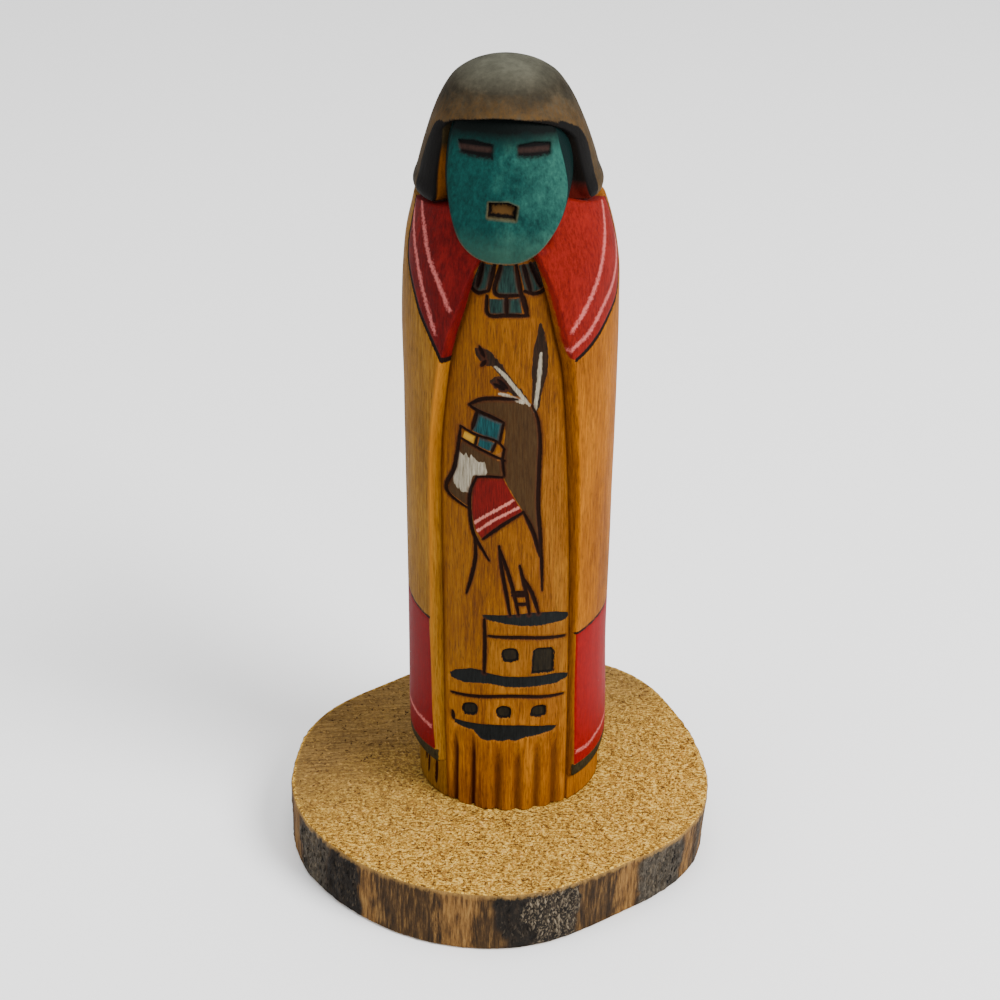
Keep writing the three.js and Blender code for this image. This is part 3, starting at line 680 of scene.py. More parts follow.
cape = closed_piece("cape_and_skirt", cape_rings, (0, 0, DRESS_FOOT), (0, 0, LID_TIP))


def over_cape(values, on_lid=FAR):
    """A measurement of the cape's grid, with one value for its lid; None carries its top edge on."""
    edge = values[-1] if on_lid is None else np.full(columns, on_lid)
    return np.concatenate([values.ravel(), np.tile(edge, len(LID)), [FAR, edge[0]]])


left_away = np.abs(turned - curve(GROOVE_LEFT, cape_z))
right_away = np.abs(turned - curve(GROOVE_RIGHT, cape_z))
groove_away = np.minimum(left_away, right_away) * DEGREE
# By the grooves the cape is darkened by stain and painted shade, most on the doll's left, away from the
# light.
cape_stain_and_shade_share = np.where(below_hem, 0.2, np.where(turned > 0, 0.4, 0.15))
groove_dark = cape_stain_and_shade_share * np.exp(-((groove_away / 0.35) ** 2))
# Painted highlight, with some wear: the crest of the doll's right roll, which faces the light, is laid
# lighter.
crest = curve(GROOVE_LEFT, cape_z) - curve(ROLL_LEFT, cape_z)
rubbed_crest = np.where(below_hem, 0, np.exp(-(((turned - crest) * DEGREE / 0.42) ** 2)))
mark(
    cape,
    rubbed_crest=over_cape(rubbed_crest, 0.0),
    red_edge=over_cape(np.minimum(lapels, np.where(cape_z > HOOD_FOOT, -1.0, FAR)), None),
    band_edge=over_cape(band),
    black_line=over_cape(np.minimum(shawl_line, band_line)),
    pink_edge=over_cape(nearest(across, cape_z, [unrolled(line) for line in SHAWL_STRIPES], 0.95, 0.3)),
    band_stripe=over_cape(band_stripe),
    hem_edge=over_cape(hem_band),
    burnt_line=over_cape(fringe),
    stain_pool=over_cape(groove_dark, 0.0),
)

# %% [markdown]
# The hood of hair
#
# The hood is the top of the same block, a blunt dome with a step at its lower edge. At the front it is
# hollowed out: the brow hangs over the face and a lock of hair comes down on each side. One radial grid can
# hold all of that, since the hollow is only a place where the surface lies further in. The points are close
# together there, so the edge of the hollow comes out clean.

# %% Profile of the dome and outline of the hollow
HOOD_PROFILE = [(131.0, 17.3), (131.15, 17.75), (131.7, 17.95), (135.2, 17.05), (138.4, 16.15), (141.5, 15.2),
                (144.6, 14.1), (147.4, 12.9), (150, 11.45), (152.1, 9.85), (153.7, 7.6), (154.85, 4.7),
                (155.55, 1.8), (155.7, 0.25)]
HOLLOW = [(-14.5, 126), (16, 126), (15.3, 130.8), (14.6, 133.7), (13.5, 137.3), (12.9, 140), (12.3, 142.2),
          (10.8, 143.9), (9, 145), (7, 145.9), (4.2, 146.7), (1.4, 147.2), (-2.2, 147.4), (-7.2, 146.8),
          (-10.8, 145.9), (-12.6, 144.6), (-13.2, 141.2), (-13.9, 137), (-14.3, 132.6)]
HOLLOW_BACK = 8.6
HOLLOW_FOOT = 131.4
HOLLOW_LEAST = 4.5
HOLLOW_LEAN = math.tan(math.radians(11))
HOOD_FRONT_END = 92
HOOD_FRONT_COLUMNS = 300
HOOD_BACK_COLUMNS = 70
HOOD_ROWS = 150

profile = np.array(HOOD_PROFILE)
lengths = np.concatenate([[0], np.cumsum(np.hypot(*np.diff(profile, axis=0).T))])
places = np.concatenate([[0, 0.3, 0.6], np.linspace(1.0, lengths[-1], HOOD_ROWS)])
hood_z = curve(np.stack([lengths, profile[:, 0]], 1), places)[:, None]
hood_r = curve(np.stack([lengths, profile[:, 1]], 1), places)[:, None]
front_angles = np.linspace(-HOOD_FRONT_END, HOOD_FRONT_END, HOOD_FRONT_COLUMNS, endpoint=False)
back_angles = np.linspace(HOOD_FRONT_END, 360 - HOOD_FRONT_END, HOOD_BACK_COLUMNS, endpoint=False)
hood_degrees = np.concatenate([front_angles, back_angles])[None]
turned = from_front(hood_degrees)
is_front = np.abs(turned) < HOOD_FRONT_END - 4

# %% Hollowing the front
lean = curve(BLOCK_LEAN, hood_z)
hood_x = hood_r * np.sin(np.radians(turned)) + lean
NO_HOLLOW = 20.0
hollow = np.where(is_front, shape(hood_x, hood_z + 0 * hood_x, flowing(HOLLOW, True, 3)), NO_HOLLOW)
cosine = np.cos(np.radians(np.where(is_front, turned, 0)))
wall = np.maximum(HOLLOW_BACK - (hood_z - HOLLOW_FOOT) * HOLLOW_LEAN, HOLLOW_LEAST) / cosine
inward = ease(hollow, 0.22, -0.3)
flat = on_form(hood_r, hood_degrees, hood_z).reshape(-1, 3)
hand = 0.1 * uneven(flat, (6, 6, 8), 7) + 0.03 * uneven(flat, (1.5, 1.5, 4), 8)
brow_round = 0.35 * np.exp(-np.clip(hollow, 0, None) / 0.5)
full = hood_r + hand.reshape(hollow.shape) * ease(hood_r, 0.2, 6) - brow_round
hood_radius = full + inward * (np.minimum(full, wall) - full)
grid = on_form(hood_radius, hood_degrees, hood_z)
grid[..., 0] += lean
crown = (curve(BLOCK_LEAN, HOOD_TOP), 0, HOOD_TOP)
hood = closed_piece("hood_of_hair", grid, (0, 0, HOOD_FOOT), crown)

# %% Measurements for the colours of the hood
LOCK_LEFT = [(-70, 144.6), (-73, 143), (-74.4, 141), (-75.4, 137.5), (-74, 133.7), (-71, 131.2), (-61, 130.8),
             (-40, 130.8), (-44, 138), (-52, 144.4), (-60, 145.4)]
LOCK_RIGHT = [(44, 146.2), (58, 145), (68, 143.4), (72.8, 141), (72.4, 138), (71.2, 135.4), (68.6, 132.8),
              (66, 130.8), (61, 130.6), (54, 131.6), (50, 136), (46, 141)]
HOOD_DEGREE = 0.29
unrolled_x = turned * HOOD_DEGREE + 0 * hood_z
lock_z = hood_z + 0 * turned


def on_hood(line):
    """A lock's outline on the unrolled hood."""
    return flowing([(degree * HOOD_DEGREE, height) for degree, height in line], True, 4)


locks = shapes(unrolled_x, lock_z, [on_hood(LOCK_LEFT), on_hood(LOCK_RIGHT)])


def over_hood(values, tip=FAR):
    """A measurement of the hood's grid, with one value for its two tips."""
    return np.concatenate([np.asarray(values).ravel(), [tip, tip]])


mark(
    hood,
    hollow_edge=over_hood(hollow, NO_HOLLOW),
    hollow_wall=over_hood(inward, 0.0),
    lock_edge=over_hood(locks),
)

# %% [markdown]
# The face
#
# The face is a slab that leans back under the brow. It is rounded from side to side and has a thin softened
# edge. It is built as rings that shrink from the slab's outline to its middle, because such a grid follows
# the outline exactly. The eyes are shallow square cuts with burnt edges, the mouth is a deeper one in which
# the bare wood shows.

# %% Surface and outline of the face
FACE_FRONT = [(118, 20.6), (121.5, 20.8), (124, 20.6), (128, 19.7), (132, 18.5), (136, 16.9), (140, 15.1),
              (144, 13.1), (147.5, 11.1), (151, 9.2)]
FACE_ROUND = [(121, 31), (134, 20), (148, 15), (151, 14)]
FACE_OUTLINE = [(-1.2, 122.5), (2.3, 122.9), (4.3, 123.9), (5.9, 125.2), (7.7, 127.3), (9.4, 130.2),
                (10.3, 132.9), (10.5, 135.6), (10, 138.6), (9.1, 142), (8.1, 145.5), (6.4, 148.2),
                (3.4, 149.1), (-1, 149.3), (-5.8, 149), (-9.2, 147.6), (-10.9, 143.5), (-11.4, 140.5),
                (-11.6, 136), (-11.3, 132.8), (-10.6, 129.4), (-9.2, 126), (-7, 123.9), (-4.2, 122.8)]
FACE_MIDDLE = (-0.3, 136.5)
FACE_BACK = -6.0
FACE_SPOKES = 380
FACE_RINGS = 74
FACE_SIDE = [(0.0, 0.5), (0.12, 1.0), (0.2, 2.0), (0.35, 4.0), (0.8, 8.0)]
EYES = [[(-9.1, 141.2), (-6, 140.8), (-3.3, 140.7), (-3.2, 143), (-6.6, 143.5), (-9.5, 143.2)],
        [(1.4, 141.2), (4.4, 140.9), (7.2, 141.2), (7.3, 143.1), (4.4, 143.4), (1.3, 143)]]
MOUTH = [(-4.1, 131.0), (0.9, 130.6), (1.3, 132.8), (-0.4, 133.5), (-3.9, 133.4)]
FLANK_SPOKE = 0.45
FLANK_WIDTH = 0.55
FLANK_REACH = 1.5


def face_y(x, z):
    """How far forward the face's surface lies, which is a negative y."""
    return -curve(FACE_FRONT, z) + x * x / (2 * curve(FACE_ROUND, z))


outline = flowing(FACE_OUTLINE, True, 18)
turn = np.arctan2(outline[:, 1] - FACE_MIDDLE[1], outline[:, 0] - FACE_MIDDLE[0])
order = np.argsort(turn)
spokes = np.linspace(-math.pi, math.pi, FACE_SPOKES, endpoint=False)
reach = np.hypot(outline[:, 0] - FACE_MIDDLE[0], outline[:, 1] - FACE_MIDDLE[1])
reach = np.interp(spokes, turn[order], reach[order], period=2 * math.pi)

# %% Rings from the side walls over the softened edge to the middle
SOFT_EDGE = 0.7
ring_share = np.linspace(1, 0.02, FACE_RINGS)
face_rings = []
flank = FLANK_REACH * np.exp(-(((spokes - FLANK_SPOKE) / FLANK_WIDTH) ** 2))
for grow, depth in FACE_SIDE[::-1]:
    wide = reach + grow + flank * ease(depth, 0.2, 3.5)
    px = FACE_MIDDLE[0] + wide * np.cos(spokes)
    pz = FACE_MIDDLE[1] + wide * np.sin(spokes)
    face_rings.append(np.stack([px, face_y(px, pz) + depth + 0.15, pz], 1))
for part in ring_share:
    px = FACE_MIDDLE[0] + reach * part * np.cos(spokes)
    pz = FACE_MIDDLE[1] + reach * part * np.sin(spokes)
    rim = reach * (1 - part)
    drop = 0.65 * (1 - np.sqrt(np.clip(1 - (1 - np.clip(rim / SOFT_EDGE, 0, 1)) ** 2, 0, 1)))
    face_rings.append(np.stack([px, face_y(px, pz) + drop, pz], 1))
face_grid = np.array(face_rings)
fx, fz = face_grid[..., 0], face_grid[..., 2]
eyes = shapes(fx, fz, EYES)
mouth = shape(fx, fz, MOUTH)
brush = face_grid.reshape(-1, 3)
hand = 0.06 * uneven(brush, (4, 4, 4), 9) + 0.02 * uneven(brush, (0.8, 0.8, 1.2), 10)
face_grid[..., 1] += trough(eyes, 0.55, 0.18) + trough(mouth, 1.3, 0.2) + hand.reshape(fx.shape)
back_ring = face_grid[:1].copy()
back_ring[..., 1] = FACE_BACK
back_middle = (FACE_MIDDLE[0], FACE_BACK, FACE_MIDDLE[1])
front_middle = (FACE_MIDDLE[0], face_grid[-1, :, 1].mean(), FACE_MIDDLE[1])
face = closed_piece("painted_face", np.concatenate([back_ring, face_grid]), back_middle, front_middle)

# %% Measurements for the colours of the face
on_sides = np.full((len(FACE_SIDE), FACE_SPOKES), -0.5)
edge_away = np.concatenate([on_sides, reach * (1 - ring_share[:, None])])


def over_face(values, behind=FAR):
    """A measurement of the face's rings, with one value for its hidden back."""
    return np.concatenate([np.full(FACE_SPOKES, behind), np.asarray(values).ravel(), [behind, behind]])


mark(face, eye_edge=over_face(eyes), mouth_edge=over_face(mouth), edge_away=over_face(edge_away, -2.0))

# %% [markdown]
# The slice of branch
#
# The base is a slice sawn from a branch, with rough end grain on top and bark left on parts of its rim. Its
# outline follows a rule: a circle with a few slow waves. The top gets the torn, crumbly relief of sawn end
# grain and the marks of the saw, and the rim gets upright fissures where the bark is left.

# %% Outline of the slice
SLICE_RADIUS = 44.9
SLICE_WAVES = [(1, 0.45, 50), (2, 1.15, 53), (3, 0.7, 70), (4, 0.8, 73), (5, 0.35, 51), (6, 0.4, 38),
               (7, 0.2, 51), (8, 0.2, 13)]
RIM_SLOPES = [(262, 2.1, 49), (298, -1.8, 75)]
SLOPE_SHARES = [(0, 1), (1.2, 1), (6.5, 0.55), (12.5, 0), (13, 0)]
SLICE_THICK = 13.0
SLICE_SPOKES = 600
SOURCE_MIDDLE = np.array([-0.132, 0.111])
slice_middle = np.array([slice_low.x + slice_high.x, slice_low.y + slice_high.y]) / 2 / MM


def slice_radius(angle):
    """The rim's distance from the middle: a circle with slow waves."""
    return SLICE_RADIUS + sum(h * np.cos(n * (angle - math.radians(crest))) for n, h, crest in SLICE_WAVES)


def rim_slope(angle):
    """How far the rim's foot stands out at an angle, or in where it is below zero."""
    away = [(angle - math.radians(place) + math.pi) % (2 * math.pi) - math.pi for place, _, _ in RIM_SLOPES]
    return sum(out * np.exp(-((a / math.radians(wide)) ** 2)) for a, (_, out, wide) in zip(away, RIM_SLOPES))


def ring_points(radius, height):
    """Points at a radius and a height, one for each spoke of the slice."""
    return np.stack([radius * np.cos(spoke), radius * np.sin(spoke), height + 0 * radius], -1)


spoke = np.linspace(0, 2 * math.pi, SLICE_SPOKES, endpoint=False)
LOWEST_LEVELS = [0.0, 0.12, 0.35]
HIGHEST_LEVELS = [12.5, 12.75, 12.93, SLICE_THICK]
rim_z = np.concatenate([LOWEST_LEVELS, np.linspace(0.7, 12.2, 28), HIGHEST_LEVELS])[:, None]
lower_edge = 0.45 * (1 - np.sqrt(1 - ease(rim_z, 0.6, 0) ** 2))
upper_edge = 0.75 * (1 - np.sqrt(1 - ease(rim_z, 12.0, SLICE_THICK) ** 2 * 0.98))
slope_share = np.interp(rim_z, *np.array(SLOPE_SHARES).T)
rim_r = slice_radius(spoke) + slope_share * rim_slope(spoke) - lower_edge - upper_edge
rim_flat = ring_points(rim_r, rim_z).reshape(-1, 3)

# %% Where the rim keeps dark bark, grey bark, pale flakes or bare wood
DARK_BARK = [(216, 230.8, 0.9), (269.5, 291, 1.0), (12, 24, 0.9), (50, 66, 0.9), (84, 95, 0.8),
             (118, 134, 0.9), (158, 168, 0.8)]
GREY_BARK = [(203, 216.5, 0.9), (311, 327, 0.9), (334, 340, 0.6), (38, 50, 0.7), (134, 140, 0.6),
             (182, 190, 0.6)]
FLAKES = [(278, 291, 1.0), (206, 213, 0.5), (313, 322, 0.5), (60, 70, 0.7), (120, 128, 0.7)]
BARE_WOOD = [(190, 202, 0.7), (231.2, 236, 1.0), (254.5, 265, 1.0), (304, 310.5, 1.0), (327, 332, 0.8),
             (341, 345, 0.8), (352, 362, 0.7), (30, 38, 0.8), (71, 80, 0.7), (101, 108, 0.8), (141, 150, 0.8)]


def patches(table, soft=1.0):
    """How much of a kind of surface there is at every point of the rim."""
    total = np.zeros(rim_r.shape)
    for start, end, amount in table:
        within = ease(bent, start - soft, start + soft) * ease(bent, end + soft, end - soft)
        total = np.maximum(total, amount * within)
    return total


waver = 2.8 * uneven(rim_flat, (6, 6, 6), 11) + 1.3 * uneven(rim_flat, (2, 2, 2), 18)
bent = np.degrees(spoke) + waver.reshape(rim_r.shape)
dark_bark = patches(DARK_BARK, 2.0)
grey_bark = patches(GREY_BARK, 2.0)
flakes = patches(FLAKES)
bare_wood = patches(BARE_WOOD, 2.6)
thick_bark = np.maximum(dark_bark, grey_bark)
fissures = uneven(rim_flat, (0.9, 0.9, 5.0), 12).reshape(rim_r.shape)
lumps = uneven(rim_flat, (1.6, 1.6, 1.8), 13).reshape(rim_r.shape)
fibres = uneven(rim_flat, (0.7, 0.7, 9.0), 14).reshape(rim_r.shape)
relief = thick_bark * (0.26 * fissures - 0.36 * np.abs(lumps)) + (1 - thick_bark) * (0.14 * fibres - 0.32)
rim_r = rim_r + (relief - 0.12) * ease(rim_z, -0.6, 1.0) * ease(rim_z, 13.6, 12.0)

# %% The sawn top and the underside
TOP_RINGS = 104
SAW_LEAN = math.radians(-7)
BRIGHTEST, DULLEST = -16.0, 16.0
top_share = np.linspace(0.988, 0.012, TOP_RINGS)[:, None] ** 0.92
top_r = rim_r[-1] * top_share
top_flat = ring_points(top_r, 0).reshape(-1, 3)
over_saw = top_flat[:, 1] * math.cos(SAW_LEAN) - top_flat[:, 0] * math.sin(SAW_LEAN)
dull = ease(0.6 * top_flat[:, 1] - 0.35 * top_flat[:, 0] - 4, BRIGHTEST, DULLEST)
strokes = uneven(np.stack([top_flat[:, 0], over_saw, 0 * over_saw], 1), (9, 0.9, 1), 15)
crumbs = uneven(top_flat, (1.1, 1.1, 1), 16) + 0.6 * uneven(top_flat, (0.6, 0.6, 1), 17)
top_z = SLICE_THICK - 0.2 + (0.17 - 0.08 * dull) * crumbs + 0.1 * dull * strokes
top_z = np.minimum(top_z.reshape(top_r.shape), SLICE_THICK)
under_share = np.array([0.05, 0.25, 0.5, 0.75, 0.9, 0.97])[:, None]
under_r = rim_r[0] * under_share
rings_r = np.vstack([under_r, rim_r, top_r])
rings_z = np.vstack([0 * under_r, rim_z + 0 * rim_r, top_z])
slice_rings = ring_points(rings_r, rings_z)
slice_foot = np.array([*(slice_middle - SOURCE_MIDDLE), 0])
branch = closed_piece("sawn_branch_slice", slice_rings, (0, 0, 0), (0, 0, SLICE_THICK - 0.1), slice_foot)


# %% Measurements for the finishes of the slice
def over_slice(on_rim, on_top=0.0):
    """A measurement of the rim and one of the top, for all points of the slice."""
    under = np.repeat(on_rim[:1], len(under_share), 0)
    return np.concatenate([under.ravel(), on_rim.ravel(), on_top + 0 * top_r.ravel(), [0, 0]])


DOLL_ON_SLICE = np.array([2.0, 2.3])
BARE_OF_FIBRES = 21.5
SCALES_FROM, SCALES_TO = 1.6, 11.4
clear_of_doll = np.hypot(*(top_flat[:, :2] - DOLL_ON_SLICE).T) > BARE_OF_FIBRES
clear_of_edge = (top_share < 0.975).repeat(SLICE_SPOKES, 1).ravel()
between_edges = (rim_z > SCALES_FROM) & (rim_z < SCALES_TO)
on_bark = (np.maximum(flakes, 0.45 * thick_bark) * between_edges > 0.3).astype(float)
mark(
    branch,
    dark_bark=over_slice(dark_bark),
    grey_bark=over_slice(grey_bark),
    flakes=over_slice(flakes),
    bare_wood=over_slice(bare_wood),
    rim_height=over_slice(rim_z + 0 * rim_r, SLICE_THICK),
    dull=over_slice(0 * rim_r, dull),
    fibres_here=over_slice(0 * rim_r, (clear_of_doll & clear_of_edge).astype(float)),
    scales_here=over_slice(on_bark),
)
face_rows = np.repeat(np.arange(len(rings_r) - 1), SLICE_SPOKES)
is_rim = (face_rows >= len(under_share)) & (face_rows < len(under_share) + len(rim_z) - 3)
material_index = np.concatenate([is_rim.astype(np.int32), np.zeros(2 * SLICE_SPOKES, np.int32)])
branch.data.polygons.foreach_set("material_index", material_index)
print(int(material_index.sum()), "faces of the rim")

# %% [markdown]
# A small language for node trees
#
# Materials here are sums of many masks. Written as Python sums they stay readable, so a wrapped socket
# takes part in plus, minus and times, and one method adds any other node: first its settings, then the
# values or links of its sockets.


# %% Sockets that take part in sums
class Wire:
    """An output of a node that can be used in a Python expression."""

    def __init__(self, bench, socket):
        self.bench = bench
        self.socket = socket

    def sum_with(self, operation, first, second):
        return self.bench.node("ShaderNodeMath", {"operation": operation}, {0: first, 1: second})

    def __add__(self, other):
        return self.sum_with("ADD", self, other)

    __radd__ = __add__

    def __sub__(self, other):
        return self.sum_with("SUBTRACT", self, other)

    def __rsub__(self, other):
        return self.sum_with("SUBTRACT", other, self)

    def __mul__(self, other):
        return self.sum_with("MULTIPLY", self, other)

    __rmul__ = __mul__

    def __truediv__(self, other):
        return self.sum_with("DIVIDE", self, other)

    def clear(self):
        """Held between 0 and 1."""
        return self.bench.node("ShaderNodeClamp", {}, {0: self})


class Bench:
    """A node tree and the one method that adds nodes to it."""

    def __init__(self, tree, name):
        self.tree = tree
        self.name = name

    def node(self, kind, settings=None, sockets=None, output=0):
        made = self.tree.nodes.new(kind)
        for name, value in (settings or {}).items():
            if name == "stops":
                set_stops(made.color_ramp, value)
            else:
                setattr(made, name, value)
        for name, value in (sockets or {}).items():
            if isinstance(value, Wire):
                self.tree.links.new(value.socket, made.inputs[name])
            else:
                made.inputs[name].default_value = value
        return Wire(self, made.outputs[output]) if made.outputs else None


def set_stops(ramp, stops):
    while len(ramp.elements) < len(stops):
        ramp.elements.new(1.0)
    for element, (place, colour) in zip(ramp.elements, stops):
        element.position = place
        element.color = colour


# %% Colours, noise and masks
def tint(red, green, blue):
    """A colour as seen on a screen, 0 to 255, as the linear values that a shader takes."""
    channels = [c / 255 for c in (red, green, blue)]
    return [c / 12.92 if c <= 0.04045 else ((c + 0.055) / 1.055) ** 2.4 for c in channels] + [1.0]


def place_of(bench):
    """The place of the point in its piece, in metres."""
    return bench.node("ShaderNodeTexCoord", {}, {}, "Object")


def axis(bench, name):
    """One coordinate of the point, in metres."""
    return bench.node("ShaderNodeSeparateXYZ", {}, {0: place_of(bench)}, name)


def noise(bench, spacing, detail=3.0, rough=0.55, lean=0.0):
    """Noise whose bumps are so many mm apart across, deep and up, turned by lean about the upright."""
    scale = [1 / (s * MM) for s in spacing]
    place = place_of(bench)
    if lean:
        turning = {"Vector": place, "Angle": lean}
        place = bench.node("ShaderNodeVectorRotate", {"rotation_type": "Z_AXIS"}, turning)
    stretched = bench.node("ShaderNodeVectorMath", {"operation": "MULTIPLY"}, {0: place, 1: scale})
    return bench.node("ShaderNodeTexNoise", {}, {"Vector": stretched, "Scale": 1.0, "Detail": detail,
                                                 "Roughness": rough})


def layer(mask, under, over):
    """One colour laid over another where the mask is 1."""
    sockets = {0: mask, 6: under, 7: over}
    return mask.bench.node("ShaderNodeMix", {"data_type": "RGBA", "clamp_factor": True}, sockets, 2)


def ramp(value, *stops):
    """A colour that follows a value through stops of (place, red, green, blue)."""
    rows = [(place, tint(*colour)) for place, *colour in stops]
    return value.bench.node("ShaderNodeValToRGB", {"stops": rows}, {0: value})


def stronger(value, gain):
    """A noise with more contrast, held between 0 and 1."""
    return ((value - 0.5) * gain + 0.5).clear()


def beyond(value, start, gain):
    """A mask that rises from 0 where the value passes the start; below zero, the gain turns it round."""
    return ((value - start) * gain).clear()


def grows(place, start, span, wobble=None):
    """A mask that goes from 0 at the start to 1 over the span, in mm; a span below zero turns it round."""
    share = (place - start * MM) / (span * MM)
    return (share if wobble is None else share + wobble).clear()


def measured(bench, name):
    """A measurement that is stored on the points of the piece."""
    return bench.node("ShaderNodeAttribute", {"attribute_name": name}, {}, "Fac")


def inside_of(bench, name, ragged=None, amount=0.0, soft=0.12):
    """A mask that is 1 inside a painted edge; ragged noise wobbles the edge by an amount in mm."""
    distance = measured(bench, name)
    if ragged is not None:
        distance = distance + (ragged - 0.5) * amount
    return (0.5 - distance / soft).clear()


def finish(bench, colour, roughness, height, bump_mm, specular=0.25):
    """Colour, roughness and a fine relief on one shader."""
    relief = {"Height": height, "Distance": bump_mm * MM, "Strength": 1.0}
    bump = bench.node("ShaderNodeBump", {}, relief, "Normal")
    shader = bench.node("ShaderNodeBsdfPrincipled", {}, {"Base Color": colour, "Roughness": roughness,
                                                         "Normal": bump, "Specular IOR Level": specular})
    bench.node("ShaderNodeOutputMaterial", {}, {"Surface": shader})
    print(bench.name, len(bench.tree.nodes), "nodes")


def new_finish(name):
    """An empty material and the bench on which its nodes are laid out."""
    material = bpy.data.materials.new(name)
    material.use_nodes = True
    material.node_tree.nodes.clear()
    return material, Bench(material.node_tree, name)


# %% [markdown]
# Stained wood
#
# The bare parts are root wood under a golden brown stain: fine upright grain, darker in the grooves, partly
# as pooled stain and partly as painted shade, and a soft sheen from handling. Three noises at three scales
# make
# the grain: slow clouds, upright streaks and fine pores.

# %% Stained wood as colour and relief
def stained_wood(bench, light, middle, dark):
    """Colour, relief and streaks of wood whose stain runs from light over middle to dark."""
    clouds = noise(bench, (8, 8, 30), 2.0)
    streaks = noise(bench, (0.45, 0.45, 8), 4.0, 0.7)
    pores = noise(bench, (0.25, 0.25, 2.4), 3.0, 0.65)
    tone = (streaks * 0.6 + clouds * 0.4 - 0.5) * 2.5 + 0.5
    colour = ramp(tone, (0.12, *dark), (0.5, *middle), (0.88, *light))
    pore_mask = beyond(pores, 0.5, -6) * 0.55
    colour = layer(pore_mask, colour, tint(*[c * 0.6 for c in dark]))
    flecks = beyond(pores, 0.6, 6) * 0.4
    colour = layer(flecks, colour, tint(*[min(255, c * 1.25) for c in light]))
    return colour, streaks * 0.5 + pores * 0.5, streaks


# %% [markdown]
# Finish of the dress
#
# The picture is laid on in the maker's order: stain, the brown wash of the hair, the red shawl and its pink
# stripes, turquoise, yellow and white, the blue-black roofs, and last the burnt lines, which the hot point
# drew over everything. The paint is thin, so the grain of the wood shows through each colour.

# %% Material of the dress
dress_finish, bench = new_finish("stained_and_painted_dress")
wood, relief, streaks = stained_wood(bench, (126, 80, 16), (104, 60, 8), (78, 40, 4))
upward = axis(bench, "Z")
lit_foot_wood, _, _ = stained_wood(bench, (160, 100, 16), (126, 72, 8), (88, 42, 4))
# Painted light: the wood is painted lighter towards the foot, as light on the ridges of the folds.
wood = layer(grows(upward, 50, -30), wood, lit_foot_wood)
# Painted shade: the wood is painted darker towards the top of the dress, in the shade under the face.
wood = layer(grows(upward, 118, 20) * 0.4, wood, tint(80, 40, 5))
ragged = noise(bench, (0.35, 0.35, 0.9), 3.0)
brushed = noise(bench, (0.3, 0.3, 3.2), 3.0, 0.7)
strong = stronger(brushed, 2.2)
pooled_stain_and_shade = measured(bench, "stain_pool")
# Stain and painted shade: the wood is laid darker in the folds and beside the grooves.
colour = layer((pooled_stain_and_shade * 1.1 - 0.08 + (streaks - 0.5) * 0.6).clear(), wood, tint(48, 12, 4))
hair_colour = layer(strong, tint(22, 13, 5), tint(56, 40, 20))
hair_wash = (inside_of(bench, "hair_edge", ragged, 0.25) * (0.8 + brushed * 0.25)).clear()
colour = layer(hair_wash, colour, hair_colour)
colour = layer(inside_of(bench, "tan_edge"), colour, tint(104, 66, 26))
red_colour = layer(strong, tint(58, 3, 2), tint(100, 13, 7))
colour = layer(inside_of(bench, "red_edge", ragged, 0.2), colour, red_colour)
pink_mask = inside_of(bench, "pink_edge", ragged, 0.8, 0.25) * inside_of(bench, "red_edge") * 0.85
colour = layer(pink_mask, colour, tint(170, 104, 92))
turquoise = layer(strong, tint(4, 22, 24), tint(18, 66, 68))
inky = layer(strong, tint(3, 10, 11), tint(28, 52, 46))
turquoise = layer(grows(upward, 115, 3), turquoise, inky)
colour = layer(inside_of(bench, "turquoise_edge", ragged, 0.25), colour, turquoise)
colour = layer(inside_of(bench, "yellow_edge", ragged, 0.15), colour, tint(150, 112, 30))
feather_colour = layer(strong, tint(9, 5, 3), tint(40, 24, 12))
colour = layer(inside_of(bench, "feather_edge", ragged, 0.5), colour, feather_colour)
white_colour = layer(strong, tint(84, 76, 58), tint(158, 150, 132))
colour = layer(inside_of(bench, "white_edge", ragged, 0.5, 0.2) * 0.93, colour, white_colour)
roof_colour = layer(strong, tint(4, 5, 5), tint(22, 24, 23))
colour = layer(inside_of(bench, "roof_edge", ragged, 0.4), colour, roof_colour)
window_colour = layer(strong, tint(7, 5, 3), tint(33, 27, 15))
colour = layer(inside_of(bench, "window_edge", ragged, 0.8), colour, window_colour)
past_rim = measured(bench, "window_edge") + 0.2 + (ragged - 0.5) * 0.6
window_rim = 0.5 - (past_rim * past_rim - 0.06) / 0.06
colour = layer(window_rim.clear() * 0.95, colour, tint(4, 2, 1))
scorch = (0.5 - (measured(bench, "burnt_line") - 0.2) / 0.7).clear() * 0.6
colour = layer(scorch, colour, tint(60, 22, 5))
burnt_mask = inside_of(bench, "burnt_line", ragged, 0.3, 0.2)
burnt_colour = layer(strong, tint(5, 2, 2), tint(24, 8, 4))
colour = layer(burnt_mask * 0.96, colour, burnt_colour)
finish(bench, colour, 0.55 + brushed * 0.16 + burnt_mask * 0.2, relief, 0.12, 0.07)
dress.data.materials.append(dress_finish)

# %% [markdown]
# Finish of the cape
#
# The cape is the same stained wood. On the doll's right side, away from the light, it is painted greyer and
# duller, and its red is painted deeper, as painted shade; on the lit side the red is painted brighter. The
# red is an opaque satin paint with a few pale chips. The pink stripes were put on with an almost dry brush,
# so they break up along their length.

# %% Material of the cape
cape_finish, bench = new_finish("stained_cape_with_red_shawl")
across = axis(bench, "X")
wood, relief, streaks = stained_wood(bench, (154, 93, 8), (128, 73, 4), (96, 50, 3))
